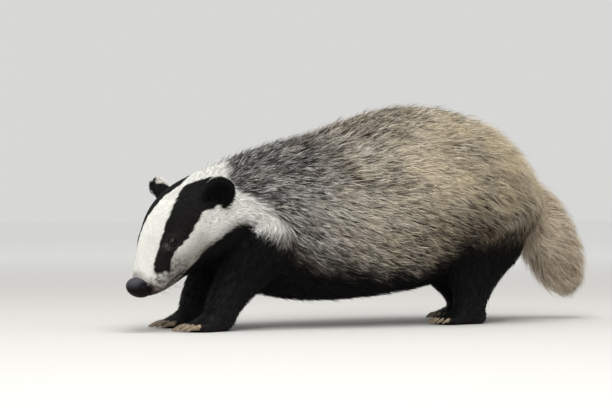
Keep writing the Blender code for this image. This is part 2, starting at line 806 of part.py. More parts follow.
def make_ear(side_name, head_out):
    """A cupped shell that stands on the head."""
    side = SIDES[side_name]
    ear = ellipsoid((0, 0, 0), EAR_RADII, "ear", None, 16, 10)
    boolean(ear, ellipsoid((0, 0, EAR_HOLLOW_OUT), EAR_HOLLOW, "hollow", None, 14, 8), "DIFFERENCE")
    moved(ear, ear_matrix(side))
    boolean(ear, head_out, "DIFFERENCE", keep=True)
    return dressed(keep_largest(ear), "ear_" + side_name, "black")


def make_head():
    """The head with its ears, eyes and nose, each a piece of its own."""
    whole = head_form()
    tree = surface_tree(whole)
    head_out = grown(whole, GAP, "head_out")
    ears = [make_ear(side_name, head_out) for side_name in SIDES]
    boolean(whole, mouth_cutter(whole), "DIFFERENCE")
    eyes = []
    for side_name, side in SIDES.items():
        centre, forward, up, out = eye_frame(tree, side)
        rim = math.sqrt((EYE_RADIUS + GAP) ** 2 - LID_RADII[1] ** 2)
        boolean(whole, ring_around(centre + out * rim, forward, up, out, LID_RADII, LID_TUBE, "lids"), "UNION")
        boolean(whole, ellipsoid(centre, [EYE_RADIUS + GAP] * 3, "socket", None, 14, 8), "DIFFERENCE")
        eye = ellipsoid(centre, [EYE_RADIUS] * 3, "eye", None, 14, 8)
        eyes.append(dressed(keep_largest(eye), "eye_" + side_name, "eye"))
    boolean(whole, moved(nose_form(GAP, "nose_bed"), head_frame()), "DIFFERENCE")
    nose = make_nose()
    point, normal = cut_plane(HEAD_CUT)
    sliced(whole, point - normal * GAP / 2, -normal)
    sliced(head_out, point + normal * GAP / 2, -normal)
    head = dressed(keep_largest(whole), "head", "white")
    return [head, nose] + ears + eyes, head_out


def make_claw(root, reach, drop, width):
    """A curved, pointed claw from its root to its tip."""
    bm = bmesh.new()
    rings = []
    for i in range(CLAW_RINGS):
        t = i / CLAW_RINGS
        centre = root + Vector((-reach * t, 0, drop * (0.25 * t - 1.25 * t * t)))
        size = width * (1 - 0.75 * t)
        ring = []
        for k in range(CLAW_SIDES):
            angle = 2 * math.pi * k / CLAW_SIDES
            ring.append(bm.verts.new(centre + Vector((0, math.cos(angle) * size, math.sin(angle) * size * 1.3))))
        rings.append([bm.edges.new((ring[k], ring[(k + 1) % CLAW_SIDES])) for k in range(CLAW_SIDES)])
    for near, far in zip(rings, rings[1:]):
        bmesh.ops.bridge_loops(bm, edges=near + far)
    bmesh.ops.holes_fill(bm, edges=rings[0], sides=0)
    tip = bmesh.ops.holes_fill(bm, edges=rings[-1], sides=0)["faces"][0]
    point = bmesh.ops.poke(bm, faces=[tip])["verts"][0]
    point.co = root + Vector((-reach, 0, -drop))
    return object_from(bm, "claw")


def make_paw(name):
    """A foot with its flat sole, toes and claws, up to the end of its leg."""
    kind = name[:4]
    size = PAWS[kind]
    side_name = name.split("_")[1]
    leg = kind + "leg_" + side_name
    x, y, _, _, _ = leg_rows(leg)[-1]
    lower = [s for s in leg_sections(leg) if s[0].z < CUFF_HEIGHT[kind] * 2]
    pieces = [loft(domed(lower, 0.5), "paw")]
    for (px, py, pz), radii in size["pads"]:
        pieces.append(ellipsoid((x + px, y + py, pz), radii, "pad"))
    claws = []
    for i in range(TOES):
        lane = i - (TOES - 1) / 2
        across = lane * size["toe_spread"]
        back = lane * lane * size["toe_curve"]
        middle = x + size["toe_root"] - size["toe_reach"] / 2 + back
        radii = (size["toe_reach"] * 0.75, size["toe_radius"], size["toe_radius"])
        pieces.append(ellipsoid((middle, y + across, TOE_HEIGHT), radii, "toe"))
        tip = Vector((middle - size["toe_reach"] * 0.45, y + across, TOE_HEIGHT + 0.0008))
        claws.append(make_claw(tip, size["claw_length"], CLAW_DROP, size["claw_width"]))
    paw = thinned(skin_of(pieces, name, PAW_SKIN), PAW_SKIN["triangles"])
    sliced(paw, Vector((0, 0, 0)), Vector((0, 0, 1)))
    sliced(paw, Vector((0, 0, CUFF_HEIGHT[kind] - GAP / 2)), Vector((0, 0, -1)))
    for claw in claws:
        boolean(paw, claw, "UNION")
    return dressed(keep_largest(paw), name, "black")


def make_leg(body, head_out, name):
    """One leg down to its cuff, clear of the head where its shoulder lies under the cheek."""
    leg = boolean(copy_of(body, name), leg_cell(name, 0.0), "INTERSECT")
    boolean(leg, head_out, "DIFFERENCE", keep=True)
    sliced(leg, Vector((0, 0, CUFF_HEIGHT[name[:4]] + GAP / 2)), Vector((0, 0, 1)))
    return dressed(keep_largest(leg), name, "black")


def stand_on_centre(pieces):
    """Moves all pieces together, so that the middle of their box, seen from above, is over the origin."""
    xs = [vert.co.x for piece in pieces for vert in piece.data.vertices]
    ys = [vert.co.y for piece in pieces for vert in piece.data.vertices]
    shift = Matrix.Translation((-(min(xs) + max(xs)) / 2, -(min(ys) + max(ys)) / 2, 0))
    for piece in pieces:
        piece.data.transform(shift)
    return shift.translation


def main():
    clear_scene()
    pieces, head_out = make_head()
    body = body_form()
    for name in STRIDE:
        pieces.append(make_leg(body, head_out, name))
        pieces.append(make_paw(name.replace("leg", "paw")))
    for name in STRIDE:
        boolean(body, leg_cell(name, GAP), "DIFFERENCE")
    pieces.append(part_between(body, "neck", "grey", HEAD_CUT, NECK_CUT))
    pieces.append(part_between(body, "torso", "grey", NECK_CUT, TAIL_CUT))
    pieces.append(part_between(body, "tail", "pale", TAIL_CUT, None))
    discard(body, head_out)
    return stand_on_centre(pieces)


if __name__ == "__main__":
    main()
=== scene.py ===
# %% [markdown]
# # A young European badger, walking with its head low
# This lesson dresses a plain CAD animal as a life-size museum model. The solids already have the outline of
# the coat. Here they get one seamless skin, a coat of about 150 thousand tufts that follow the lie of the
# fur, glossy eyes, cupped ears, a bare nose and horn claws. Lengths are in metres, +Z is up, the animal faces
# -X and its left side is towards -Y.

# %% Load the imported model
import json
import math

import bmesh
import bpy
import numpy as np
from mathutils import Matrix, Vector, noise
from mathutils.bvhtree import BVHTree
from mathutils.kdtree import KDTree

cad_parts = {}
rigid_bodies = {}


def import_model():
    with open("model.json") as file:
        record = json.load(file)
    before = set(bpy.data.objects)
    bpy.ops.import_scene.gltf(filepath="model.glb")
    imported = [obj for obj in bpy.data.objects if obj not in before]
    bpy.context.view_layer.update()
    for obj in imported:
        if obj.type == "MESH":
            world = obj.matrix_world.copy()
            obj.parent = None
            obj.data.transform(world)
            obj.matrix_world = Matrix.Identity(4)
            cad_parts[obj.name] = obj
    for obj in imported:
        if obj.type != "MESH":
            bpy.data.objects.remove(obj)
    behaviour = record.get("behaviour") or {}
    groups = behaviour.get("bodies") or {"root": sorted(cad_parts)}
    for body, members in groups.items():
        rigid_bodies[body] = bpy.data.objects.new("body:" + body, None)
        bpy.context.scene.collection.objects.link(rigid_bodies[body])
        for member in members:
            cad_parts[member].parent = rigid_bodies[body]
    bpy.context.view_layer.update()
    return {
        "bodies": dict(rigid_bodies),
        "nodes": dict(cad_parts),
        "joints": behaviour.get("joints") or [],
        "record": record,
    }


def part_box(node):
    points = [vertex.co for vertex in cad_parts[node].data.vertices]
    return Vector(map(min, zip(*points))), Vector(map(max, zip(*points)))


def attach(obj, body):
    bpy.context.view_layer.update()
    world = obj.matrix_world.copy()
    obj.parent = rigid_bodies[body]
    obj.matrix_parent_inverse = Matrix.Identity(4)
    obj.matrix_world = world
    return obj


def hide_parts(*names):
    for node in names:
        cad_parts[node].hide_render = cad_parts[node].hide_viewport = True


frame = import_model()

# %% [markdown]
# ## The drawing
# The body under the coat could be sculpted by hand or copied from the solids. It is drawn again here from the
# same rows of sizes, because rows can be read, changed and asked where on the body a point lies, and the coat
# needs that answer for its markings and for the way each tuft lies.

# %% Rows of sizes
# The drawing was moved by this much, so that the animal's box stands centred over the origin
CENTRED = Vector((-0.01060036, 0.00132923, 0.0))

# From the snout to the rump: top x, top z, bottom x, bottom z, half-width, squareness, swell, depth of coat
TRUNK = (
    (-0.2675, 0.0560, -0.2480, 0.0360, 0.0125, 2.1, -0.10, 0.0000),
    (-0.2645, 0.0680, -0.2330, 0.0415, 0.0165, 2.2, -0.18, 0.0000),
    (-0.2605, 0.0810, -0.2175, 0.0495, 0.0205, 2.3, -0.18, 0.0000),
    (-0.2550, 0.0960, -0.2040, 0.0580, 0.0260, 2.4, -0.12, 0.0000),
    (-0.2475, 0.1110, -0.1930, 0.0645, 0.0330, 2.4, -0.05, 0.0000),
    (-0.2370, 0.1255, -0.1830, 0.0690, 0.0400, 2.5, 0.00, 0.0000),
    (-0.2220, 0.1400, -0.1740, 0.0705, 0.0455, 2.5, 0.03, 0.0000),
    (-0.2010, 0.1530, -0.1650, 0.0680, 0.0495, 2.5, 0.06, 0.0010),
    (-0.1750, 0.1640, -0.1550, 0.0600, 0.0520, 2.3, 0.06, 0.0030),
    (-0.1450, 0.1740, -0.1420, 0.0500, 0.0555, 2.2, 0.06, 0.0060),
    (-0.1050, 0.1890, -0.1200, 0.0360, 0.0650, 2.1, 0.08, 0.0090),
    (-0.0600, 0.2000, -0.0700, 0.0260, 0.0745, 2.1, 0.10, 0.0110),
    (-0.0100, 0.2170, -0.0150, 0.0250, 0.0820, 2.1, 0.10, 0.0130),
    (0.0400, 0.2310, 0.0350, 0.0290, 0.0880, 2.1, 0.10, 0.0140),
    (0.0900, 0.2340, 0.0800, 0.0360, 0.0895, 2.1, 0.10, 0.0140),
    (0.1370, 0.2250, 0.1150, 0.0450, 0.0870, 2.1, 0.10, 0.0140),
    (0.1810, 0.2030, 0.1450, 0.0560, 0.0780, 2.1, 0.08, 0.0140),
    (0.2125, 0.1720, 0.1720, 0.0720, 0.0620, 2.0, 0.06, 0.0130),
    (0.2290, 0.1410, 0.1950, 0.0880, 0.0400, 2.0, 0.00, 0.0100),
)
# From inside the rump to the tip of the tail: x, z, half-width, half-height, depth of coat
TAIL = (
    (0.1850, 0.1280, 0.0300, 0.0330, 0.0100),
    (0.2200, 0.1220, 0.0290, 0.0320, 0.0110),
    (0.2480, 0.1000, 0.0275, 0.0290, 0.0120),
    (0.2660, 0.0730, 0.0260, 0.0260, 0.0120),
    (0.2770, 0.0500, 0.0190, 0.0180, 0.0080),
    (0.2820, 0.0370, 0.0060, 0.0060, 0.0030),
)
# From inside the body down into the foot: x, distance from the middle, z, half-length, half-width
FORELEG = (
    (-0.1000, 0.0300, 0.1350, 0.0350, 0.0240),
    (-0.1130, 0.0360, 0.1000, 0.0330, 0.0260),
    (-0.1330, 0.0410, 0.0700, 0.0270, 0.0225),
    (-0.1500, 0.0400, 0.0460, 0.0220, 0.0195),
    (-0.1615, 0.0400, 0.0260, 0.0185, 0.0180),
    (-0.1650, 0.0400, 0.0120, 0.0170, 0.0175),
)
HINDLEG = (
    (0.1500, 0.0360, 0.1400, 0.0500, 0.0320),
    (0.1430, 0.0440, 0.1050, 0.0520, 0.0330),
    (0.1330, 0.0500, 0.0750, 0.0450, 0.0280),
    (0.1310, 0.0510, 0.0500, 0.0310, 0.0220),
    (0.1310, 0.0500, 0.0310, 0.0210, 0.0180),
    (0.1290, 0.0500, 0.0140, 0.0180, 0.0165),
)
STRIDE = {"foreleg_left": -0.013, "foreleg_right": 0.0, "hindleg_left": -0.012, "hindleg_right": 0.050}
SIDES = {"left": -1, "right": 1}
CORE_SHARE = 0.55  # share of the coat's depth that lies over the skin
SHORT_FUR = 0.0007  # depth of the short fur on the face and legs
ROUND, NO_SWELL = 2.0, 0.0  # squareness and swell of a plain oval section
RINGS_PER_STATION = 5
RING_SIDES = 32

# The head looks a little to the left
HEAD_TURN = math.radians(12)
TURN_PIVOT_X = -0.135
TURN_START_X = -0.115
TURN_WHOLE_X = -0.185
print("stations:", len(TRUNK), "on the trunk,", len(TAIL), "on the tail,", len(FORELEG), "on each leg")


# %% [markdown]
# ## From rows to sections
# A section is a slice of the animal: a middle, an arrow up, an arrow sideways, and how square it is. A smooth
# curve runs through the rows, so a few well-chosen rows give the flowing line of a living back. The head and
# neck are drawn level and straight, and one function turns each point with the head.

# %% Sections
def between(rows, count):
    """Rows of numbers on a smooth curve through the given rows, count to each stretch."""
    made = []
    last = len(rows) - 1
    for i in range(last):
        before, here, there, after = (rows[min(max(j, 0), last)] for j in (i - 1, i, i + 1, i + 2))
        for k in range(count):
            t = k / count
            row = []
            for a, b, c, d in zip(before, here, there, after):
                bend = (2 * a - 5 * b + 4 * c - d) * t * t + (3 * b - a - 3 * c + d) * t**3
                row.append(0.5 * (2 * b + (c - a) * t + bend))
            made.append(tuple(row))
    made.append(tuple(rows[last]))
    return made


def turned(point, at_x):
    """A point or arrow of the level head, turned with it; at_x says how far forward it is."""
    share = min(max((TURN_START_X - at_x) / (TURN_START_X - TURN_WHOLE_X), 0), 1)
    return Matrix.Rotation(HEAD_TURN * share * share * (3 - 2 * share), 3, "Z") @ point


def placed(point):
    """Where a point of the level drawing is on the finished animal."""
    pivot = Vector((TURN_PIVOT_X, 0, 0))
    return pivot + turned(point - pivot, point.x) + CENTRED


def head_frame():
    """Carries a piece of the level head to its place on the turned head."""
    pivot = Vector((TURN_PIVOT_X, 0, 0))
    turn = Matrix.Translation(pivot) @ Matrix.Rotation(HEAD_TURN, 4, "Z") @ Matrix.Translation(-pivot)
    return Matrix.Translation(CENTRED) @ turn


def trunk_sections():
    made = []
    for top_x, top_z, low_x, low_z, half, squareness, swell, coat in between(TRUNK, RINGS_PER_STATION):
        top, low = Vector((top_x, 0, top_z)), Vector((low_x, 0, low_z))
        middle = (top + low) / 2
        thin = coat * CORE_SHARE + SHORT_FUR
        up = (top - low).normalized() * ((top - low).length / 2 - thin)
        side = Vector((0, half - thin, 0))
        made.append((placed(middle), turned(up, middle.x), turned(side, middle.x), squareness, swell))
    return made


def tail_sections():
    rows = between(TAIL, RINGS_PER_STATION)
    made = []
    for i, (x, z, half, high, coat) in enumerate(rows):
        ahead, behind = rows[min(i + 1, len(rows) - 1)], rows[max(i - 1, 0)]
        along = Vector((ahead[0] - behind[0], 0, ahead[1] - behind[1])).normalized()
        thin = coat * CORE_SHARE + SHORT_FUR
        up = Vector((-along.z, 0, along.x)) * (high - thin)
        made.append((Vector((x, 0, z)) + CENTRED, up, Vector((0, half - thin, 0)), ROUND, NO_SWELL))
    return made


def leg_rows(name):
    """The stations of one leg, with its stride spread down its length and the side it is on."""
    rows = FORELEG if name.startswith("fore") else HINDLEG
    side = SIDES[name.split("_")[1]]
    high, low = rows[0][2], rows[-1][2]
    return [(x + STRIDE[name] * (high - z) / (high - low), side * away, z, long, wide)
            for x, away, z, long, wide in rows]


def leg_sections(name):
    rows = between(leg_rows(name), RINGS_PER_STATION)
    made = []
    for i, (x, y, z, long, wide) in enumerate(rows):
        ahead, behind = rows[min(i + 1, len(rows) - 1)], rows[max(i - 1, 0)]
        along = (Vector(ahead[:3]) - Vector(behind[:3])).normalized()
        side = Vector((0, wide - SHORT_FUR, 0))
        fore = side.cross(along).normalized() * (long - SHORT_FUR)
        made.append((Vector((x, y, z)) + CENTRED, fore, side, ROUND, NO_SWELL))
    return made


forms = {"trunk": trunk_sections(), "tail": tail_sections()}
forms.update({name: leg_sections(name) for name in STRIDE})
print("sections:", {name: len(sections) for name, sections in forms.items()})


# %% [markdown]
# ## The skin
# The skin is one closed surface with no seam. Each form becomes a loft, the feet get their pads and toes as
# rounded solids, and a voxel remesh melts them together, as clay is smoothed over an armature. The head's
# faces are then divided once more, since a face needs finer modelling than a flank. The soles are cut flat.

# %% Small helpers for meshes
def rounded(value, squareness):
    """A sine or cosine pushed outwards, so that a ring comes closer to a square."""
    return math.copysign(abs(value) ** (2 / squareness), value)


def linked(name, data):
    """A new object in the scene."""
    made = bpy.data.objects.new(name, data)
    bpy.context.scene.collection.objects.link(made)
    return made


def on_side(place, side):
    """A place or arrow of the right half, on the side that is asked for."""
    x, y, z = place
    return Vector((x, side * y, z))


def square_to(arrow, axis):
    """The arrow turned to stand at right angles to an axis."""
    return (arrow - axis * arrow.dot(axis)).normalized()


def object_of(bm, name):
    """Turns a bmesh into a linked object whose faces point outwards."""
    bmesh.ops.recalc_face_normals(bm, faces=bm.faces)
    mesh = bpy.data.meshes.new(name)
    bm.to_mesh(mesh)
    bm.free()
    mesh.shade_smooth()
    return linked(name, mesh)


def settled(obj):
    """Applies an object's modifiers."""
    bpy.context.view_layer.update()
    mesh = bpy.data.meshes.new_from_object(obj.evaluated_get(bpy.context.evaluated_depsgraph_get()))
    obj.modifiers.clear()
    obj.data = mesh
    mesh.name = obj.name
    return obj


def melted(obj, voxel, passes):
    """One smooth closed surface from overlapping closed ones."""
    remesh = obj.modifiers.new("melt", "REMESH")
    remesh.mode = "VOXEL"
    remesh.voxel_size = voxel
    smooth = obj.modifiers.new("smooth", "SMOOTH")
    smooth.factor = 0.5
    smooth.iterations = passes
    return settled(obj)


def add_loft(bm, sections):
    """Adds a closed skin through sections."""
    rings = []
    for centre, up, side, squareness, swell in sections:
        ring = []
        for k in range(RING_SIDES):
            angle = 2 * math.pi * k / RING_SIDES
            high = rounded(math.sin(angle), squareness)
            wide = rounded(math.cos(angle), squareness) * (1 - swell * high)
            ring.append(bm.verts.new(centre + up * high + side * wide))
        rings.append([bm.edges.new((ring[k], ring[(k + 1) % RING_SIDES])) for k in range(RING_SIDES)])
    for near, far in zip(rings, rings[1:]):
        bmesh.ops.bridge_loops(bm, edges=near + far)
    for ring in (rings[0], rings[-1]):
        bmesh.ops.holes_fill(bm, edges=ring, sides=0)


DOME_STEPS = ((0.38, 0.92), (0.71, 0.70), (0.92, 0.38))  # how far out each section is, and its size


def domed(sections, share):
    """Adds shrinking sections past each end, so that the ends are round."""
    def cap(end, inner):
        centre, up, side, squareness, swell = end
        out = (centre - inner[0]).normalized() * up.length * share
        return [(centre + out * far, up * size, side * size, squareness, swell) for far, size in DOME_STEPS]

    return cap(sections[0], sections[1])[::-1] + sections + cap(sections[-1], sections[-2])


def add_ellipsoid(bm, centre, radii, turn=Matrix.Identity(4), sides=24, rings=16):
    made = bmesh.ops.create_uvsphere(bm, u_segments=sides, v_segments=rings, radius=1.0)["verts"]
    size = Matrix.Diagonal(Vector(radii)).to_4x4()
    bmesh.ops.transform(bm, matrix=Matrix.Translation(Vector(centre)) @ turn @ size, verts=made)
    return made


# %% Lofts, pads and toes, melted into one skin
DOMES = {"trunk": 0.35, "tail": 0.6}
LEG_DOME = 0.5
MUZZLE_SWELL = ((-0.2490, 0.0075, 0.0510), (0.0135, 0.0095, 0.0105))  # cushion that holds the whiskers
# Feet, from the end of the leg: forms of the sole (centre and radii), then the row of toes
PAWS = {
    "fore": {
        "pads": (((-0.0060, 0.0080), (0.0190, 0.0165, 0.0120)),
                 ((-0.0160, 0.0060), (0.0150, 0.0180, 0.0085))),
        "root": -0.0180, "reach": 0.0165, "spread": 0.0078, "curve": 0.0011, "radius": 0.0050,
        "claw": 0.0160, "claw_width": 0.0025,
    },
    "hind": {
        "pads": (((0.0020, 0.0080), (0.0200, 0.0145, 0.0120)),
                 ((-0.0130, 0.0060), (0.0200, 0.0155, 0.0080))),
        "root": -0.0240, "reach": 0.0135, "spread": 0.0068, "curve": 0.0010, "radius": 0.0044,
        "claw": 0.0090, "claw_width": 0.0021,
    },
}
TOES = 5
TOE_HEIGHT, TOE_LONG = 0.0042, 0.75
SKIN_VOXEL = 0.00244
SKIN_PASSES = 5
FINE_HEAD_BEHIND, FINE_HEAD_PASSES = -0.170, 2  # faces in front of this x are divided once more
TAIL_ROOT, TAIL_ROOT_REACH, TAIL_ROOT_PASSES = Vector((0.205, 0.0, 0.115)), 0.050, 30


def toe_places(leg):
    """Middle of each toe of one foot, with the sizes of that foot."""
    x, y, _, _, _ = leg_rows(leg)[-1]
    size = PAWS[leg[:4]]
    for i in range(TOES):
        lane = i - (TOES - 1) / 2
        forward = x + size["root"] - size["reach"] / 2 + lane * lane * size["curve"]
        yield Vector((forward, y + lane * size["spread"], TOE_HEIGHT)) + CENTRED, size


skin_mesh = bmesh.new()
for name, sections in forms.items():
    add_loft(skin_mesh, domed(sections, DOMES.get(name, LEG_DOME)))
for side in SIDES.values():
    place, radii = MUZZLE_SWELL
    add_ellipsoid(skin_mesh, head_frame() @ on_side(place, side), radii)
for leg in STRIDE:
    x, y, _, _, _ = leg_rows(leg)[-1]
    for (px, pz), radii in PAWS[leg[:4]]["pads"]:
        add_ellipsoid(skin_mesh, Vector((x + px, y, pz)) + CENTRED, radii)
    for middle, size in toe_places(leg):
        add_ellipsoid(skin_mesh, middle, (size["reach"] * TOE_LONG, size["radius"], size["radius"]))
skin = melted(object_of(skin_mesh, "skin"), SKIN_VOXEL, SKIN_PASSES)

bm = bmesh.new()
bm.from_mesh(skin.data)
bmesh.ops.bisect_plane(bm, geom=bm.verts[:] + bm.edges[:] + bm.faces[:], dist=1e-6,
                       plane_co=(0, 0, 0), plane_no=(0, 0, 1), clear_inner=True)
bmesh.ops.holes_fill(bm, edges=[edge for edge in bm.edges if edge.is_boundary], sides=0)
head_edges = [edge for edge in bm.edges if all(vert.co.x < FINE_HEAD_BEHIND for vert in edge.verts)]
bmesh.ops.subdivide_edges(bm, edges=head_edges, cuts=1, use_grid_fill=True)
head_verts = [vert for vert in bm.verts if vert.co.x < FINE_HEAD_BEHIND]
tail_root = [vert for vert in bm.verts if (vert.co - TAIL_ROOT).length < TAIL_ROOT_REACH]
for verts, passes in ((head_verts, FINE_HEAD_PASSES), (tail_root, TAIL_ROOT_PASSES)):
    for _ in range(passes):
        bmesh.ops.smooth_vert(bm, verts=verts, factor=0.5, use_axis_x=True, use_axis_y=True, use_axis_z=True)
bm.to_mesh(skin.data)
bm.free()
skin.data.shade_smooth()
triangles = sum(len(face.vertices) - 2 for face in skin.data.polygons)
print("skin:", len(skin.data.vertices), "points,", triangles, "triangles")


# %% [markdown]
# ## Modelling the face
# The melted forms give a smooth head, and a face needs more: the line of the mouth with a lip on each side,
# a hollow in front of each eye and a ridge over it. A sculptor would push these in with a brush. Here each
# push is a place on the level head, a reach and a depth, and moves the points round it along their normals.

# %% Push the face into shape
MOUTH_LINE = ((-0.2660, 0.0330), (-0.2560, 0.0372), (-0.2440, 0.0430), (-0.2331, 0.0512), (-0.2200, 0.0610))
LIP_REACH, LIP_DEPTH = 0.0022, 0.0017
SOCKET_RIM, SOCKET_REACH, SOCKET_PUSH = 0.0068, 0.0040, 0.0013  # the skin swells in a ring round each eye
# Middle on the level head (x, distance from the middle, z), reach, and how far the skin moves out
FACE_PUSHES = (
    ((-0.2470, 0.0200, 0.0800), 0.0100, -0.0012),  # hollow in front of the eye
    ((-0.2350, 0.0290, 0.0990), 0.0090, 0.0011),  # ridge over the eye
    ((-0.2300, 0.0330, 0.0790), 0.0110, 0.0008),  # cheekbone under the eye
    ((-0.2000, 0.0470, 0.0950), 0.0220, 0.0015),  # fullness of the cheek
    ((-0.2560, 0.0130, 0.0600), 0.0080, -0.0009),  # groove between the bridge and the whisker cushion
    ((-0.2500, 0.0170, 0.0480), 0.0080, 0.0012),  # whisker cushion
    ((-0.2690, 0.0040, 0.0585), 0.0110, 0.0006),  # end of the bridge, flush with the nose
)


def read_points(mesh, kind="co"):
    values = np.empty(len(mesh.vertices) * 3)
    mesh.vertices.foreach_get(kind, values)
    return values.reshape(-1, 3)


def to_level(places):
    """Places on the turned head, where the level drawing has them."""
    back = np.array(head_frame().inverted())
    return places @ back[:3, :3].T + back[:3, 3]


def fading(distance, reach):
    """1 at the middle of a push and 0 at its reach."""
    share = np.clip(1 - (distance / reach) ** 2, 0, 1)
    return share * share


def off_line(places, line):
    """Distance of each place from a line of points, both seen from the side."""
    nearest = np.full(len(places), 1e3)
    for (x0, z0), (x1, z1) in zip(line, line[1:]):
        along = np.array([x1 - x0, z1 - z0])
        from_start = places[:, (0, 2)] - np.array([x0, z0])
        share = np.clip(from_start @ along / (along @ along), 0, 1)
        nearest = np.minimum(nearest, np.linalg.norm(from_start - share[:, None] * along, axis=1))
    return nearest


points = read_points(skin.data)
level = to_level(points)
folded = np.column_stack([level[:, 0], np.abs(level[:, 1]), level[:, 2]])  # both halves laid on one
off_mouth = off_line(level, between(MOUTH_LINE, 5))
push = -LIP_DEPTH * fading(off_mouth, LIP_REACH)
off_eyes = np.full(len(points), 1.0)
for side_name in SIDES:
    eye_middle = np.mean(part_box("eye_" + side_name), axis=0)
    off_eyes = np.minimum(off_eyes, np.linalg.norm(points - eye_middle, axis=1))
push += SOCKET_PUSH * fading(off_eyes - SOCKET_RIM, SOCKET_REACH)
for place, reach, depth in FACE_PUSHES:
    push += depth * fading(np.linalg.norm(folded - place, axis=1), reach)
points += read_points(skin.data, "normal") * push[:, None]
skin.data.vertices.foreach_set("co", points.ravel())
skin.data.update()
normals = read_points(skin.data, "normal")
count = len(points)
print("points moved on the face:", int((abs(push) > 1e-5).sum()))


# %% [markdown]
# ## Where on the body each point lies
# Markings follow the body, not the camera. So each point of the skin is asked for its station, from 0 at the
# snout to 18 at the rump, and for its angle round the body from the middle of the back. A point lies on the
# form whose surface it is closest to. All points are worked out at once with numpy.

# %% Form coordinates
def form_arrays(sections):
    centres, ups, sides = (np.array([section[i] for section in sections]) for i in range(3))
    squareness = np.array([section[3] for section in sections])
    facing = np.cross(ups, sides)
    facing /= np.linalg.norm(facing, axis=1)[:, None]
    facing *= np.sign((facing * np.gradient(centres, axis=0)).sum(axis=1))[:, None]
    return centres, ups, sides, squareness, facing


def on_form(places, sections):
    """Station, offsets up and sideways, distance out (all 1 at the surface) and lie of the form."""
    centres, ups, sides, squareness, facing = form_arrays(sections)
    past = places @ facing.T - (centres * facing).sum(axis=1)
    crossed = (past[:, :-1] >= 0) & (past[:, 1:] < 0)
    apart = (places**2).sum(axis=1)[:, None] - 2 * places @ centres.T + (centres**2).sum(axis=1)
    near = (apart[:, :-1] + apart[:, 1:] + np.where(crossed, 0.0, 1.0)).argmin(axis=1)
    rows = np.arange(len(places))
    first, second = past[rows, near], past[rows, near + 1]
    t = np.clip(first / np.where(abs(first - second) < 1e-9, 1e-9, first - second), 0, 1)

    def mixed(table):
        share = t.reshape((-1,) + (1,) * (table.ndim - 1))
        return table[near] * (1 - share) + table[near + 1] * share

    up, side, square = mixed(ups), mixed(sides), mixed(squareness)
    offset = places - mixed(centres)
    high = (offset * up).sum(axis=1) / (up**2).sum(axis=1)
    wide = (offset * side).sum(axis=1) / (side**2).sum(axis=1)
    out = (abs(high) ** square + abs(wide) ** square) ** (1 / square)
    lie = (centres[near + 1] - centres[near]) + high[:, None] * (ups[near + 1] - ups[near])
    lie += wide[:, None] * (sides[near + 1] - sides[near])
    beyond = np.maximum(past[:, -1], 0) + np.maximum(-past[:, 0], 0)
    return (near + t) / RINGS_PER_STATION, high, wide, out + beyond * BEYOND_COST, lie


def unit(arrows):
    return arrows / np.maximum(np.linalg.norm(arrows, axis=-1, keepdims=True), 1e-12)


BEYOND_COST = 40  # how fast a form loses a point that lies past its end, for a metre
TRUNK_FORM, TAIL_FORM = 0, 1
FEET_ONLY_BELOW, FAR_AWAY = 0.022, 100  # under this height there is nothing but feet
form_names = list(forms)
answers = [on_form(points, forms[name]) for name in form_names]
distance_out = np.array([answer[3] for answer in answers])
distance_out[:TAIL_FORM + 1, points[:, 2] < FEET_ONLY_BELOW] += FAR_AWAY
form = distance_out.argmin(axis=0)
rows = np.arange(count)
station, high, wide = (np.array([answer[i] for answer in answers])[form, rows] for i in range(3))
lie = unit(np.array([answer[4] for answer in answers])[form, rows])
around = np.arctan2(wide, high)
on_trunk, on_tail, on_leg = form == TRUNK_FORM, form == TAIL_FORM, form > TAIL_FORM
print("points on each form:", {name: int((form == i).sum()) for i, name in enumerate(form_names)})


# %% [markdown]
# ## The lie of the coat
# Fur lies like shingles, from the nose back over the head, along the back, down the flanks and rump and down
# each leg. Combing could be done by hand with a brush. Here the direction of each form is bent downwards by a
# share that depends on the place, and then smoothed over the mesh, so that body and legs flow together.

# %% Comb the skin
def over(values, table):
    """Reads a value from a table of pairs, with straight lines between them."""
    return np.interp(values, [row[0] for row in table], [row[1] for row in table])


DROOP = ((0, 0.0), (3, 0.15), (6, 0.30), (8.5, 0.45), (11, 0.42), (14, 0.45), (16.5, 0.80), (18, 1.1))
TAIL_SPLAY = 0.55  # the hairs of the tail stand off backwards
COMBING_PASSES = 18
side_share = np.sin(np.abs(around))
lie[:, 2] -= np.where(on_trunk, over(station, DROOP) * side_share, 0.0)
lie[:, 0] += np.where(on_tail, TAIL_SPLAY, 0.0)
edges = np.empty(len(skin.data.edges) * 2, dtype=np.int64)
skin.data.edges.foreach_get("vertices", edges)
edges = edges.reshape(-1, 2)
neighbours = np.bincount(edges.ravel(), minlength=count)


def smoothed(values, passes):
    """Averages values with those of neighbouring points, over and over."""
    table = values.reshape(count, -1).astype(float)
    for _ in range(passes):
        total = np.empty_like(table)
        for axis in range(table.shape[1]):
            column = table[:, axis]
            total[:, axis] = np.bincount(edges[:, 0], column[edges[:, 1]], count)
            total[:, axis] += np.bincount(edges[:, 1], column[edges[:, 0]], count)
        table = (table + total / neighbours[:, None]) / 2
    return table.reshape(values.shape)


def flat_on(arrows, facing):
    """Arrows turned into the surface that faces that way."""
    return unit(arrows - facing * (arrows * facing).sum(axis=1)[:, None])


lie = flat_on(smoothed(unit(lie), COMBING_PASSES), normals)
print("mean lie of the flank:", lie[on_trunk & (station > 12) & (side_share > 0.9)].mean(axis=0).round(2))


# %% [markdown]
# ## Markings
# A badger's face is white with a black stripe through each eye, from beside the nose to the ear. The cheek's
# white band runs back under the ear and ends on the neck. Throat, chest, belly and legs are black, and the
# rest is grizzled: each hair is pale, with a dark band and a pale tip. The edges are given as pairs of
# station and angle from the middle of the back, and a little noise keeps them from looking painted.

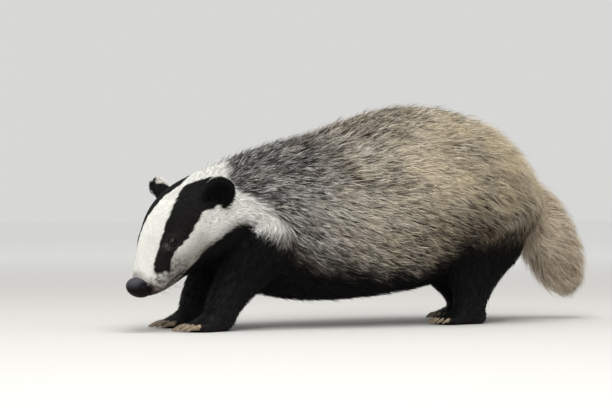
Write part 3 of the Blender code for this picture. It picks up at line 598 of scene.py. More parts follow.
# %% Edges of the markings
# Pairs of station and angle, in degrees from the middle of the back
CROWN_EDGE = ((0.5, 66), (0.9, 60), (1.4, 51), (1.93, 48), (3.23, 38), (4.41, 28), (5.71, 17.5), (6.57, 10),
              (7.07, 15), (7.33, 21), (7.69, 28), (7.9, 42), (8.2, 60))
STRIPE_EDGE = ((0.9, 108), (1.63, 99), (2.21, 82), (2.75, 74), (3.48, 74), (4.27, 72), (5.07, 66), (5.72, 62),
               (6.77, 65), (7.33, 63), (7.71, 54), (8.2, 50))
CHEEK_TOP = ((7.7, 38), (7.96, 48), (8.25, 61), (9.12, 70), (9.68, 82), (10.06, 93), (10.6, 108))
DARK_LINE = ((0, 165), (1.4, 155), (2.5, 135), (3.16, 127), (4.22, 114), (5.38, 108), (6.1, 101), (6.98, 99),
             (7.84, 96), (8.3, 98), (8.85, 100), (9.53, 105), (9.97, 110), (10.41, 119), (10.83, 127),
             (11.62, 128), (12.46, 134), (13.28, 137), (13.76, 129), (14.09, 121), (14.52, 115), (15.5, 111),
             (18, 111))
# Last station of the crown's white, over the angle
CROWN_END = ((0, 8.9), (5, 8.84), (28, 8.35), (39, 7.97), (60, 7.8), (180, 7.8))
# Height of the dark line on the legs, over x
DARK_HEIGHT = ((-0.20, 0.118), (-0.1500, 0.1030), (-0.1366, 0.0950), (-0.1130, 0.0825), (-0.0880, 0.0620),
               (-0.0455, 0.0474), (0.0382, 0.0520), (0.0605, 0.0690), (0.0750, 0.0830), (0.0927, 0.0970),
               (0.30, 0.1020))
SHARP, SOFT = math.radians(2.5), math.radians(20)
FINE, BROAD, DOTTED = 220, 45, 430  # how quickly each noise changes, for a metre
FINE_WOBBLE, BROAD_WOBBLE = math.radians(1.6), math.radians(1.2)


def step(values, edge, width):
    """Goes from 0 to 1 where the values pass an edge, over a width."""
    t = np.clip((values - edge) / width + 0.5, 0, 1)
    return t * t * (3 - 2 * t)


def angle_over(values, table):
    return np.radians(over(values, table))


def noise_at(places, seed):
    """Smooth noise, between about -1 and 1, at each place."""
    offset = Vector((seed * 7.3, seed * 3.1, seed * 5.7))
    return np.array([noise.noise(Vector(place) + offset) for place in places]) * 2


fine_noise, broad_noise = noise_at(points * FINE, 1), noise_at(points * BROAD, 2)
off_middle = np.abs(around)
wobble = FINE_WOBBLE * fine_noise + BROAD_WOBBLE * broad_noise
print("the edges wander by up to", round(math.degrees(np.abs(wobble).max()), 1), "degrees")

# %% Stripes and crown
CROWN_FAR_SIDE = math.radians(-9)  # the far stripe comes this much closer to the middle
STRIPE_LOW, STRIPE_LOW_WIDTH, STRIPE_LOW_RAGGED = 0.0593, 0.004, 0.0024  # height of its front end, level
STRIPE_BACK, STRIPE_BACK_WIDTH = 7.95, 0.2
CROWN_END_WIDTH, CROWN_REACH = 0.5, math.radians(60)
LENGTH_WOBBLE = 0.06

angle = off_middle + wobble
length_on = station + LENGTH_WOBBLE * fine_noise
crown_edge = angle_over(station, CROWN_EDGE) + np.where(around > 0, CROWN_FAR_SIDE, 0.0)
stripe = step(angle, crown_edge, SHARP) * (1 - step(angle, angle_over(station, STRIPE_EDGE), SHARP))
stripe *= step(level[:, 2] + STRIPE_LOW_RAGGED * fine_noise, STRIPE_LOW, STRIPE_LOW_WIDTH)
stripe *= 1 - step(length_on, STRIPE_BACK, STRIPE_BACK_WIDTH)
crown = 1 - step(length_on, over(np.degrees(off_middle), CROWN_END), CROWN_END_WIDTH)
crown *= angle < CROWN_REACH
print("points in the stripes:", int((stripe[on_trunk] > 0.5).sum()))

# %% Cheeks
# The shoulder's form bulges into the cheek's band, so the band asks the trunk for its place there too
CHEEK_SOFT = SHARP * 4
CHEEK_BACK, CHEEK_BACK_WIDTH, CHEEK_RAGGED = 9.7, 1.6, 0.25  # where it fades, in stations

trunk_station, trunk_high, trunk_wide = answers[TRUNK_FORM][:3]
trunk_angle = np.abs(np.arctan2(trunk_wide, trunk_high)) + wobble
cheek = step(trunk_angle, angle_over(trunk_station, CHEEK_TOP), CHEEK_SOFT)
cheek *= 1 - step(trunk_station + CHEEK_RAGGED * broad_noise, CHEEK_BACK, CHEEK_BACK_WIDTH)
print("points on the shoulders that the cheeks' white reaches:", int((cheek[on_leg] > 0.5).sum()))

# %% Dark line, white and black
# How soft the dark line is, over the stations
LINE_SOFTNESS = ((3, SHARP), (5, SHARP * 2), (8, SHARP * 3), (9, SHARP * 6), (12, SOFT), (14.5, SOFT * 1.7))
LINE_RAGGED, RAGGED_FROM, RAGGED_WIDTH = math.radians(4), 11, 2
LEG_LINE_RAGGED, LEG_LINE_SUNK = 0.004, 0.004
FORE_LINE_WIDTH, HIND_LINE_WIDTH = 0.012, 0.044
FACE_BACK = 7.8  # the last station of the white face
EYE_CORNER = (-0.2475, 0.0215, 0.0835)  # level place of the browner patch in front of the eye
EYE_PATCH_REACH, EYE_PATCH_PALER = 0.0072, 0.36

loose_angle = angle + LINE_RAGGED * broad_noise * step(station, RAGGED_FROM, RAGGED_WIDTH)
below = step(loose_angle, angle_over(station, DARK_LINE), over(station, LINE_SOFTNESS))
leg_line = over(points[:, 0], DARK_HEIGHT)
leg_line_width = np.where(points[:, 0] > 0, HIND_LINE_WIDTH, FORE_LINE_WIDTH)
leg_dark = 1 - step(points[:, 2] + LEG_LINE_RAGGED * broad_noise, leg_line - LEG_LINE_SUNK, leg_line_width)
below = np.where(on_trunk, below, np.where(on_tail, 0.0, leg_dark))
eye_patch = fading(np.linalg.norm(folded - EYE_CORNER, axis=1), EYE_PATCH_REACH)
black = np.maximum(np.where(on_trunk, stripe, 0.0), below) * (1 - EYE_PATCH_PALER * eye_patch)
face_and_neck = np.maximum(np.maximum(station < FACE_BACK, crown), cheek)
white = np.where(on_trunk, face_and_neck, np.where(on_leg, cheek, 0.0)) * (1 - black)
print("share of the skin that is white, black:", round(float(white.mean()), 2), round(float(black.mean()), 2))

# %% Warm and dark tones
WARMTH = ((-0.17, 0.0), (-0.10, 0.12), (-0.04, 0.45), (0.04, 0.75), (0.12, 0.85), (0.20, 1.0))  # over x
WARMTH_RAGGED = 0.12
# How dark the tufts are, over the stations
DARKNESS = ((7.6, 0.12), (8.2, 0.50), (9.5, 0.54), (11, 0.37), (12.0, 0.06), (14, 0.03), (15.6, 0.10),
            (16.4, 0.24), (17.3, 0.34), (18, 0.38))
TAIL_DARKNESS = ((0, 0.0), (2.0, 0.0), (3, 0.24), (5, 0.35))
LEG_DARKEST, LEG_PALER, LEG_PALER_REACH = 0.9, 0.55, 0.045  # and by how much paler over its dark line
BACK_DARKER, BACK_REACH = 0.60, ((12.4, 48), (13.9, 19))  # the dark back narrows to a crest behind
HAUNCH_DARKER, HAUNCH_STATION, HAUNCH_ANGLE = 0.32, 14.0, math.radians(102)
HAUNCH_LONG, HAUNCH_ROUND = 1.5, math.radians(30)
LOW_DARKER, LOW_REACH, LOW_POWER = 0.85, math.radians(48), 1.7  # just over the dark line
LOW_FROM, LOW_FROM_WIDTH = 9.8, 1.6
WHITE_CLEANER, UNDERSIDE_DARKNESS_WITH_SHADE = 0.8, 0.95

warm = np.clip(over(points[:, 0], WARMTH) + WARMTH_RAGGED * broad_noise, 0, 1)
back_reach = angle_over(station, BACK_REACH)
off_haunch = np.hypot((station - HAUNCH_STATION) / HAUNCH_LONG, (off_middle - HAUNCH_ANGLE) / HAUNCH_ROUND)
lowness = np.clip(1 - (angle_over(station, DARK_LINE) - off_middle) / LOW_REACH, 0, 1)
darkness = over(station, DARKNESS) + BACK_DARKER * (1 - step(off_middle, back_reach, back_reach * 2))
darkness += HAUNCH_DARKER * fading(off_haunch, 1.0)
darkness += LOW_DARKER * lowness**LOW_POWER * step(station, LOW_FROM, LOW_FROM_WIDTH)
leg_darkness = LEG_DARKEST - LEG_PALER * np.clip((points[:, 2] - leg_line) / LEG_PALER_REACH, 0, 1)
darkness = np.where(on_trunk, darkness, np.where(on_tail, over(station, TAIL_DARKNESS), leg_darkness))
# Below the dark line the fur gets nearly the darkest black, darker than the stripes: partly its own black,
# partly painted shade of the underside
darkness = np.where(below > 0.5, UNDERSIDE_DARKNESS_WITH_SHADE, darkness * (1 - WHITE_CLEANER * white))
print("mean darkness of the flank:", round(float(darkness[on_trunk & (station > 12)].mean()), 2))

# %% Waves of the coat
WAVE_LIE = math.radians(32)  # the waves run back and down by this angle
WAVE_DARKER, TAIL_WAVES = 0.26, 0.5
WAVES_ALONG, WAVES_ACROSS, WAVES_SIDEWAYS = 10, 36, 22  # how quickly they change, for a metre
WAVES_FROM, WAVES_FROM_WIDTH = 9, 2
WAVE_LAYERS = ((3, 1.0, 0.75), (4, 2.3, 0.2))  # seed, how much finer, and share

along_waves = points @ np.array([math.cos(WAVE_LIE), 0, -math.sin(WAVE_LIE)])
across_waves = points @ np.array([math.sin(WAVE_LIE), 0, math.cos(WAVE_LIE)])
wave_place = np.column_stack([along_waves * WAVES_ALONG, across_waves * WAVES_ACROSS,
                              points[:, 1] * WAVES_SIDEWAYS])
waves = sum(noise_at(wave_place * finer, seed) * share for seed, finer, share in WAVE_LAYERS)
darkness += WAVE_DARKER * waves * np.where(on_tail, TAIL_WAVES, step(station, WAVES_FROM, WAVES_FROM_WIDTH))
print("waves change the darkness by up to", round(float(np.abs(WAVE_DARKER * waves).max()), 2))

# %% Brown fur and bare skin
NOSE_AT = head_frame() @ Vector((-0.2640, 0.0, 0.0447))
NOSE_BRIDGE = (75, 40)  # above this angle, with this width, the rings round the nose are fainter
LIPS_REACH, MOUTH_CORNER_X = 0.0024, -0.216
MUZZLE_BROWN, MUZZLE_RAGGED, DOTS_BROWN = 0.24, 0.18, 0.6
DOTS_FROM, DOTS_WIDTH = 0.25, 0.35
# Chin and jaw: share, last station and its width, angle and its width
BROWN_BELOW = ((0.9, 3.2, 1.5, 142, 20), (0.50, 4.8, 2.4, 88, 36))
LINE_BROWN, LINE_REACH, LINE_BROWN_BACK = 0.60, math.radians(13), 11  # along the dark line
FACE_BROWN, TAIL_BLEND_PASSES = 0.10, 30


def lower_than(degrees, width):
    """1 on the skin below that angle from the middle of the back, and 0 above it."""
    return step(off_middle, math.radians(degrees), math.radians(width))


def ahead_of(last, width):
    """1 on the trunk in front of a station, and 0 behind it."""
    return (1 - step(station, last, width)) * on_trunk


def near_nose(radius, width, ragged, on_top):
    """A ragged ring round the nose, fainter on the bridge than below it."""
    ring = 1 - step(off_nose + ragged * fine_noise, radius, width)
    return ring * (on_top + (1 - on_top) * lower_than(*NOSE_BRIDGE))


off_nose = np.linalg.norm(points - np.array(NOSE_AT), axis=1)
off_dark_line = np.abs(off_middle - angle_over(station, DARK_LINE))
dots = step(noise_at(points * DOTTED, 5), DOTS_FROM, DOTS_WIDTH)
speckles = MUZZLE_BROWN + MUZZLE_RAGGED * fine_noise + DOTS_BROWN * dots
muzzle = ahead_of(2.6, width=1.6) * lower_than(66, width=30) * speckles
brown = np.maximum(near_nose(0.0175, width=0.0060, ragged=0.0015, on_top=0.35), muzzle) + eye_patch
for share, last, last_width, degrees, width in BROWN_BELOW:
    brown += share * ahead_of(last, last_width) * lower_than(degrees, width)
line_brown = fading(off_dark_line, LINE_REACH) * step(station, 4.0, width=2.0) * (station < LINE_BROWN_BACK)
brown += LINE_BROWN * line_brown * on_trunk
brown = np.clip(brown + FACE_BROWN * ahead_of(8, width=3) * broad_noise, 0, 1)
lips = fading(off_mouth, LIPS_REACH) * (level[:, 0] < MOUTH_CORNER_X)
bare = np.clip(lips + near_nose(0.0145, width=0.0030, ragged=0.0008, on_top=0.25), 0, 1)
tail_share = smoothed(on_tail.astype(float), TAIL_BLEND_PASSES)
print("points that are brown:", int((brown > 0.5).sum()), "bare:", int((bare > 0.5).sum()))


# %% [markdown]
# ## A small language for materials
# A material is a graph of nodes. Graphs are hard to read as long lists of links, so one small class wraps a
# socket, and Python's own operators then add the Math nodes: `1 - mask` becomes a Subtract node.

# %% Sockets that understand arithmetic
class Value:
    """One output of a node, on which plain arithmetic adds Math nodes."""

    def __init__(self, finish, socket):
        self.finish = finish
        self.socket = socket

    def maths(self, operation, *values):
        return self.finish.node("ShaderNodeMath", {"operation": operation}, dict(enumerate(values)))

    def __add__(self, other):
        return self.maths("ADD", self, other)

    def __radd__(self, other):
        return self.maths("ADD", other, self)

    def __sub__(self, other):
        return self.maths("SUBTRACT", self, other)

    def __rsub__(self, other):
        return self.maths("SUBTRACT", other, self)

    def __mul__(self, other):
        return self.maths("MULTIPLY", self, other)

    def __rmul__(self, other):
        return self.maths("MULTIPLY", other, self)

    def ramp(self, start, end):
        """Goes smoothly from 0 to 1 between two values."""
        settings = {"interpolation_type": "SMOOTHSTEP"}
        return self.finish.node("ShaderNodeMapRange", settings, {0: self, 1: start, 2: end})


class Finish:
    """A material with one shader, and one way to add any other node."""

    def __init__(self, name, **fixed):
        self.material = bpy.data.materials.new(name)
        self.material.use_nodes = True
        self.tree = self.material.node_tree
        self.shader = self.tree.nodes["Principled BSDF"]
        for socket, value in fixed.items():
            self.shader.inputs[socket.replace("_", " ")].default_value = value

    def node(self, kind, settings=None, values=None, out=0):
        made = self.tree.nodes.new(kind)
        for name, value in (settings or {}).items():
            setattr(made, name, value)
        for name, value in (values or {}).items():
            self.feed(made.inputs[name], value)
        return Value(self, made.outputs[out])

    def feed(self, socket, value):
        if isinstance(value, Value):
            self.tree.links.new(value.socket, socket)
        else:
            socket.default_value = value

    def set(self, socket, value):
        self.feed(self.shader.inputs[socket], value)

    def place(self):
        """Object coordinates, which every finished piece shares."""
        return self.node("ShaderNodeTexCoord", out=3)

    def noise(self, scale, detail=2.0):
        return self.node("ShaderNodeTexNoise", {}, {"Vector": self.place(), "Scale": scale, "Detail": detail})

    def mottled(self, scale, dark, light, detail=2.0):
        """Two colours, mixed by noise."""
        return self.mix(self.noise(scale, detail), shade(*dark), shade(*light))

    def cells(self, scale):
        return self.node("ShaderNodeTexVoronoi", {}, {"Vector": self.place(), "Scale": scale})

    def parts(self, attribute):
        """The three numbers of a named attribute."""
        vector = self.node("ShaderNodeAttribute", {"attribute_name": attribute}, out=1)
        split = self.tree.nodes.new("ShaderNodeSeparateXYZ")
        self.feed(split.inputs[0], vector)
        return [Value(self, split.outputs[i]) for i in range(3)]

    def mix(self, share, first, second):
        return self.node("ShaderNodeMix", {"data_type": "RGBA"}, {0: share, 6: first, 7: second}, out=2)

    def relief(self, height, strength, distance):
        values = {"Height": height, "Strength": strength, "Distance": distance}
        self.set("Normal", self.node("ShaderNodeBump", {}, values))


def shade(red, green, blue):
    """A colour given as it looks on a screen, 0 to 255, for a shader."""
    def linear(value):
        value /= 255
        return value / 12.92 if value <= 0.04045 else ((value + 0.055) / 1.055) ** 2.4

    return (linear(red), linear(green), linear(blue), 1.0)


print("a mid grey in the shader:", [round(value, 3) for value in shade(128, 128, 128)])

# %% [markdown]
# ## The coat's finish
# Skin and tufts share one recipe, so that no bare patch shows another colour. Each point carries three
# triples: `marks` is how white, black and warm the place is, `strand` is how far along the tuft it lies, how
# dark the tuft is and how much it belongs to the tail, and `tint` is how brown and how bare it is and how
# much painted light brightens the cheek's white. The grizzled look comes from a darker band in the middle of
# each tuft and from tufts of different darkness.

# %% Fur material
WHITE, CREAM = shade(232, 232, 226), shade(202, 196, 184)
# A brighter white, painted light on the cheek's white behind the face
CHEEK_PAINTED_LIGHT = shade(251, 251, 246)
# The deepest black goes to the ears and, partly as painted shade, to the throat, chest, belly and legs; the
# stripes keep the lighter brownish black
BLACK, BROWN_BLACK = shade(7, 6, 6), shade(26, 23, 22)
BROWN = shade(84, 70, 61)
COOL_PALE, COOL_DARK = shade(244, 241, 236), shade(42, 40, 40)
WARM_PALE, WARM_DARK = shade(253, 236, 203), shade(63, 49, 36)
TAIL_PALE, TAIL_DARK = shade(253, 240, 219), shade(146, 118, 90)
LIP = shade(30, 24, 23)
# Where along a tuft its dark band begins and ends, how much darker it is, and its mean over the tuft
BAND_START, BAND_END, BAND_DARKER, BAND_MEAN = (0.15, 0.35), (0.50, 0.78), 0.42, 0.4
CREAM_SHARE = 0.55


def fur_finish(name, with_relief):
    fur = Finish(name, Roughness=0.65, Specular_IOR_Level=0.18)
    is_white, is_black, is_warm = fur.parts("marks")
    along, dark_share, on_the_tail = fur.parts("strand")
    is_brown, is_bare, is_lit_cheek = fur.parts("tint")
    pale = fur.mix(on_the_tail, fur.mix(is_warm, COOL_PALE, WARM_PALE), TAIL_PALE)
    dark = fur.mix(on_the_tail, fur.mix(is_warm, COOL_DARK, WARM_DARK), TAIL_DARK)
    band = along.ramp(*BAND_START) * (1 - along.ramp(*BAND_END))
    grizzled = fur.mix(dark_share + (band - BAND_MEAN) * BAND_DARKER, pale, dark)
    whitish = fur.mix(dark_share * CREAM_SHARE, WHITE, CREAM)
    # Behind the face the cheek's white is mixed towards a brighter white, as painted light
    coat = fur.mix(is_white, grizzled, fur.mix(is_lit_cheek, whitish, CHEEK_PAINTED_LIGHT))
    coat = fur.mix(is_brown, coat, BROWN)
    blackish = fur.mix(dark_share, BROWN_BLACK, BLACK)
    coat = fur.mix(is_black, coat, blackish)
    fur.set("Base Color", fur.mix(is_bare, coat, LIP))
    if with_relief:
        fur.relief(fur.noise(900.0), 0.4, 0.0006)
    return fur.material


skin_finish = fur_finish("skin_and_undercoat", True)
fur_strands = fur_finish("fur", False)


def set_attribute(mesh, name, values):
    made = mesh.attributes.new(name, "FLOAT_VECTOR", "POINT")
    made.data.foreach_set("vector", values.astype(np.float32).ravel())


UNDERCOAT_ALONG = 0.22
CHEEK_LIGHT_STRENGTH, CHEEK_LIGHT_FROM, CHEEK_LIGHT_WIDTH = 0.9, 6.5, 3.0  # painted light: behind the face the cheek's white is painted brighter
marks = np.stack([white, black, warm], axis=1)
tint = np.stack([brown, bare, CHEEK_LIGHT_STRENGTH * cheek * step(trunk_station, CHEEK_LIGHT_FROM, CHEEK_LIGHT_WIDTH)], axis=1)
undercoat = np.stack([np.full(count, UNDERCOAT_ALONG), darkness, tail_share], axis=1)
skin.data.materials.append(skin_finish)
set_attribute(skin.data, "marks", marks)
set_attribute(skin.data, "strand", undercoat)
set_attribute(skin.data, "tint", tint)
flesh = ["head", "neck", "torso", "tail"] + list(STRIDE) + [name.replace("leg", "paw") for name in STRIDE]
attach(skin, "root")
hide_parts(*flesh)
print("materials:", skin_finish.name, fur_strands.name)


# %% [markdown]
# ## Tufts
# A tuft stands for a few hairs that cling together. One tapered, three-sided spike is bent along the surface
# for each root: its middle and its tip are looked up on the skin, so that even long tufts hug the round
# flank. Tips are drawn towards the tip of the nearest guide tuft, which gives the small points of a real
# coat, and a few loose tufts stand out, as they do along the back in the photograph. A tuft takes its colours
# from the place under its middle, so that each marking ends where it should although the fur is long.

# %% The spike that all tufts are bent from
def extruded(bm, face, keep=False):
    """Pulls a face out of the mesh: its new points and the new face."""
    made = bmesh.ops.extrude_face_region(bm, geom=[face], use_keep_orig=keep)["geom"]
    faces = [item for item in made if isinstance(item, bmesh.types.BMFace)]
    return [item for item in made if isinstance(item, bmesh.types.BMVert)], faces[0]


def spike(middle, middle_size):
    """A three-sided tapered spike of unit length along Y: its points and its triangles."""
    bm = bmesh.new()
    bmesh.ops.create_circle(bm, segments=3, radius=0.5, cap_ends=True)
    bmesh.ops.transform(bm, matrix=Matrix.Rotation(math.radians(90), 4, "X"), verts=bm.verts)
    verts, end = extruded(bm, bm.faces[:][0], keep=True)
    bmesh.ops.translate(bm, verts=verts, vec=(0, middle, 0))
    bmesh.ops.scale(bm, verts=verts, vec=(middle_size, 1, middle_size))
    tip = bmesh.ops.poke(bm, faces=[end])["verts"][0]
    tip.co = (0, 1, 0)
    bmesh.ops.triangulate(bm, faces=bm.faces)
    bmesh.ops.recalc_face_normals(bm, faces=bm.faces)
    bm.verts.index_update()
    spots = np.array([vert.co for vert in bm.verts])
    faces = np.array([[vert.index for vert in face.verts] for face in bm.faces])
    bm.free()
    return spots, faces


SPIKE_POINTS, SPIKE_FACES = spike(middle=0.48, middle_size=0.82)
print("a tuft has", len(SPIKE_POINTS), "points and", len(SPIKE_FACES), "triangles")


# %% A surface that fur grows on
FEWEST_GUIDES = 8


class Ground:
    """A surface with all that a tuft needs to know at its root."""

    def __init__(self, mesh, fields):
        bm = bmesh.new()
        bm.from_mesh(mesh)
        bmesh.ops.triangulate(bm, faces=bm.faces)
        self.tree = BVHTree.FromBMesh(bm)
        self.triangles = np.array([[vert.index for vert in face.verts] for face in bm.faces])
        bm.free()
        self.fields = dict(fields, points=read_points(mesh), normals=read_points(mesh, "normal"))
        corners = self.fields["points"][self.triangles]
        spans = corners[:, 1:] - corners[:, :1]
        self.areas = np.linalg.norm(np.cross(spans[:, 0], spans[:, 1]), axis=1) / 2

    def plant(self, amount, weight, draw):
        """Roots spread by area and weight: the triangle of each root, and its place in it."""
        share = np.cumsum(self.areas * weight[self.triangles].mean(axis=1))
        self.planted_area = share[-1] / weight.max()
        chosen = np.searchsorted(share, (np.arange(amount) + draw.random(amount)) / amount * share[-1])
        first, second = draw.random(amount), draw.random(amount)
        outside = first + second > 1
        first[outside], second[outside] = 1 - first[outside], 1 - second[outside]
        return chosen, np.stack([1 - first - second, first, second], axis=1)

    def at(self, field, chosen, shares):
        picked = self.fields[field][self.triangles[chosen]]
        return (picked * shares.reshape(shares.shape + (1,) * (picked.ndim - 2))).sum(axis=1)

    def nearest(self, places):
        """The nearest places on the surface, the way it faces there, and their triangles."""
        found = [self.tree.find_nearest(Vector(place)) for place in places]
        return (np.array([hit[i] for hit in found]) for i in range(3))


def rotated(arrows, axes, angles):
    """Turns each arrow round its own axis, both at right angles to each other."""
    return arrows * np.cos(angles)[:, None] + np.cross(axes, arrows) * np.sin(angles)[:, None]


def guides_of(roots, spacing, area, draw):
    """The guide of each root: the nearest of a sparse choice of roots."""
    guides = draw.choice(len(roots), max(int(area / spacing**2), FEWEST_GUIDES), replace=False)
    tree = KDTree(len(guides))
    for guide in guides:
        tree.insert(roots[guide], int(guide))
    tree.balance()
    return np.array([tree.find(root)[1] for root in roots])


# %% Bend, colour and join the tufts
ROOT_SUNK = 0.0006
FLOOR_CLEARANCE = 0.0004
THICKNESS = 0.6  # of a tuft, for its width
UV_PATCH, UV_MARGIN = 0.003, 0.02
CRISPNESS = 1.7  # how much sharper the edges of the markings are on the tufts
# Shares of the size at the place that a single tuft gets
OWN_LENGTH, OWN_DEPTH, OWN_WIDTH = (0.75, 1.2), (0.3, 1.1), (0.7, 1.3)
OWN_PULL, OWN_BROWN, OWN_RISE = (0.4, 1.0), (0.5, 1.3), (0.3, 1.0)
OWN_STRAY, OWN_DARKNESS, LOOSE_WIDTH = 0.6, 0.5, 0.6
MIDDLE_RISE, MIDDLE_PULL = 0.72, 0.3  # how far the middle rises and is pulled, for the tip
LEAST_STEP = 0.001  # gives a direction to a tuft whose middle lies on its root


def bent_spikes(root, middle, tip, sideways, upward, width):
    """Points of spikes that run through their root, middle and tip."""
    across, along, up = (SPIKE_POINTS[:, i][None, :, None] for i in range(3))
    curve = root[:, None] * ((1 - along) * (1 - 2 * along)) + middle[:, None] * (4 * along * (1 - along))
    curve += tip[:, None] * (along * (2 * along - 1))
    return curve + (sideways[:, None] * across + upward[:, None] * up * THICKNESS) * width[:, None, None]


def bend_tufts(ground, chosen, shares, size, draw):
    """Points of all tufts of one piece, and the triangle of the skin under the middle of each."""
    amount = len(chosen)
    root, facing = ground.at("points", chosen, shares), unit(ground.at("normals", chosen, shares))
    length = ground.at("length", chosen, shares) * draw.uniform(*OWN_LENGTH, amount)
    depth = ground.at("depth", chosen, shares) * draw.uniform(*OWN_DEPTH, amount)
    width = ground.at("width", chosen, shares) * draw.uniform(*OWN_WIDTH, amount)
    loose = draw.random(amount) < size["loose"]
    depth += loose * draw.uniform(*OWN_RISE, amount) * size["loose_rise"]
    width *= np.where(loose, LOOSE_WIDTH, 1.0)
    guide = guides_of(root, size["clump"], ground.planted_area, draw)
    lock = guides_of(root, size["lock"], ground.planted_area, draw)
    stray = draw.normal(0, size["clump_stray"], amount)[guide] + draw.normal(0, size["stray"], amount)[lock]
    stray += draw.normal(0, size["stray"] * OWN_STRAY, amount)
    way = rotated(flat_on(ground.at("lie", chosen, shares), facing), facing, stray)
    middle, middle_facing, under = ground.nearest(root + way * (length * 0.5)[:, None])
    onward = unit(middle - root + way * LEAST_STEP)
    tip, tip_facing, _ = ground.nearest(middle + onward * (length * 0.5)[:, None])
    curl = np.cross(middle_facing, way) * draw.normal(0, size["curl"], amount)[:, None] * length[:, None]
    middle = middle + middle_facing * (depth * MIDDLE_RISE)[:, None] + curl
    tip = tip + tip_facing * depth[:, None]
    for leader, strength in ((lock, size["lock_pull"]), (guide, size["pull"])):
        pull = strength * draw.uniform(*OWN_PULL, amount) * ~loose
        tip = tip + (tip[leader] - tip) * pull[:, None]
        middle = middle + (middle[leader] - middle) * (pull * MIDDLE_PULL)[:, None]
    root = root - facing * ROOT_SUNK
    made = bent_spikes(root, middle, tip, unit(np.cross(facing, way)), middle_facing, width)
    made[..., 2] = np.maximum(made[..., 2], FLOOR_CLEARANCE)
    return made, under, lock


def colour_tufts(ground, under, lock, size, draw):
    """The three triples at each point of each tuft."""
    amount = len(under)
    corners = ground.triangles[under]
    marks, tint, strand = (ground.fields[name][corners].mean(axis=1) for name in ("marks", "tint", "strand"))
    marks[:, :2] = (marks[:, :2] - 0.5) * CRISPNESS + 0.5 + draw.normal(0, size["mixed"], (amount, 1))
    strand[:, 1] += draw.normal(0, size["varied"], amount)[lock]
    strand[:, 1] += draw.normal(0, size["varied"] * OWN_DARKNESS, amount)
    tint[:, 0] *= draw.uniform(*OWN_BROWN, amount)
    each = len(SPIKE_POINTS)
    marks, tint, strand = (np.repeat(table, each, axis=0) for table in (marks, tint, strand))
    strand[:, 0] = np.tile(SPIKE_POINTS[:, 1], amount)
    return {"marks": np.clip(marks, 0, 1), "tint": np.clip(tint, 0, 1), "strand": np.clip(strand, 0, 1)}


def joined(name, places):
    """One mesh of all tufts."""
    amount, each = places.shape[:2]
    mesh = bpy.data.meshes.new(name)
    mesh.vertices.add(amount * each)
    mesh.vertices.foreach_set("co", places.astype(np.float32).ravel())
    loops = (SPIKE_FACES[None] + (np.arange(amount) * each)[:, None, None]).astype(np.int32)
    mesh.loops.add(loops.size)
    mesh.loops.foreach_set("vertex_index", loops.ravel())
    mesh.polygons.add(amount * len(SPIKE_FACES))
    mesh.polygons.foreach_set("loop_start", np.arange(0, loops.size, 3, dtype=np.int32))
    mesh.update(calc_edges=True)
    mesh.shade_smooth()
    return mesh


def grow(name, ground, amount, weight, size, seed):
    """One piece of the coat."""
    draw = np.random.default_rng(seed)
    chosen, shares = ground.plant(amount, weight, draw)
    places, under, lock = bend_tufts(ground, chosen, shares, size, draw)
    mesh = joined(name, places)
    for attribute, values in colour_tufts(ground, under, lock, size, draw).items():
        set_attribute(mesh, attribute, values)
    root_uv = ground.at("unwrap", chosen, shares)
    root_uv = UV_MARGIN + (root_uv - root_uv.min(axis=0)) / np.ptp(root_uv, axis=0) * (1 - 2 * UV_MARGIN)
    uv = (root_uv[:, None] + SPIKE_POINTS[None, :, :2] * UV_PATCH)[:, SPIKE_FACES]
    mesh.uv_layers.new(name="OFBake").data.foreach_set("uv", uv.astype(np.float32).ravel())
    mesh.materials.append(fur_strands)
    piece = linked(name, mesh)
    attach(piece, "root")
    print(name, "tufts:", amount, "triangles:", len(mesh.polygons))


# %% [markdown]
# ## How long, how deep, how dense
# The coat's length follows the photograph: very short on the muzzle, short on the face and legs, longer on
# the cheeks and neck, longest on the flanks, rump and tail. Depth is how far the tips stand off the skin.

# %% Sizes of the fur over the body
LENGTHS = ((0, 0.0034), (2, 0.0050), (4, 0.0070), (6, 0.0095), (8, 0.0130), (9.5, 0.0150), (11, 0.0175),
           (13, 0.0210), (16, 0.0240), (18, 0.0280))
WIDTHS = ((0, 0.00045), (4, 0.00060), (7, 0.00075), (9, 0.00085), (12, 0.00095), (18, 0.00100))
TAIL_LENGTH, TAIL_WIDTH = 0.0320, 0.0010
LEG_LENGTHS = ((0.004, 0.0030), (0.020, 0.0055), (0.050, 0.0090), (0.080, 0.0150), (0.140, 0.0220))
LEG_WIDTHS = ((0.004, 0.00055), (0.080, 0.00090))
LEG_COAT = ((0.02, 0.001), (0.09, 0.006))  # depth on the legs, over the height
EYE_SHORTEST, EYE_SHORT_FROM, EYE_SHORT_OVER = 0.18, 0.005, 0.010  # the fur is shorter round the eyes
MOUTH_CLEAR, NOSE_CLEAR, EYE_CLEAR, SOLE_CLEAR = 0.0009, 0.0122, 0.0060, 0.0015
SOLE_FACING = -0.5
LEG_STRIP = 6.0  # stations between two legs on the unwrapped coat
FORM_BLEND_PASSES = 8
trunk_coat = over(station, [(i, row[7]) for i, row in enumerate(TRUNK)])
tail_coat = over(station, [(i, row[4]) for i, row in enumerate(TAIL)])
leg_coat = over(points[:, 2], LEG_COAT)


def by_form(trunk_values, tail_values, leg_values):
    values = np.where(on_trunk, trunk_values, np.where(on_tail, tail_values, leg_values))
    return smoothed(values, FORM_BLEND_PASSES)


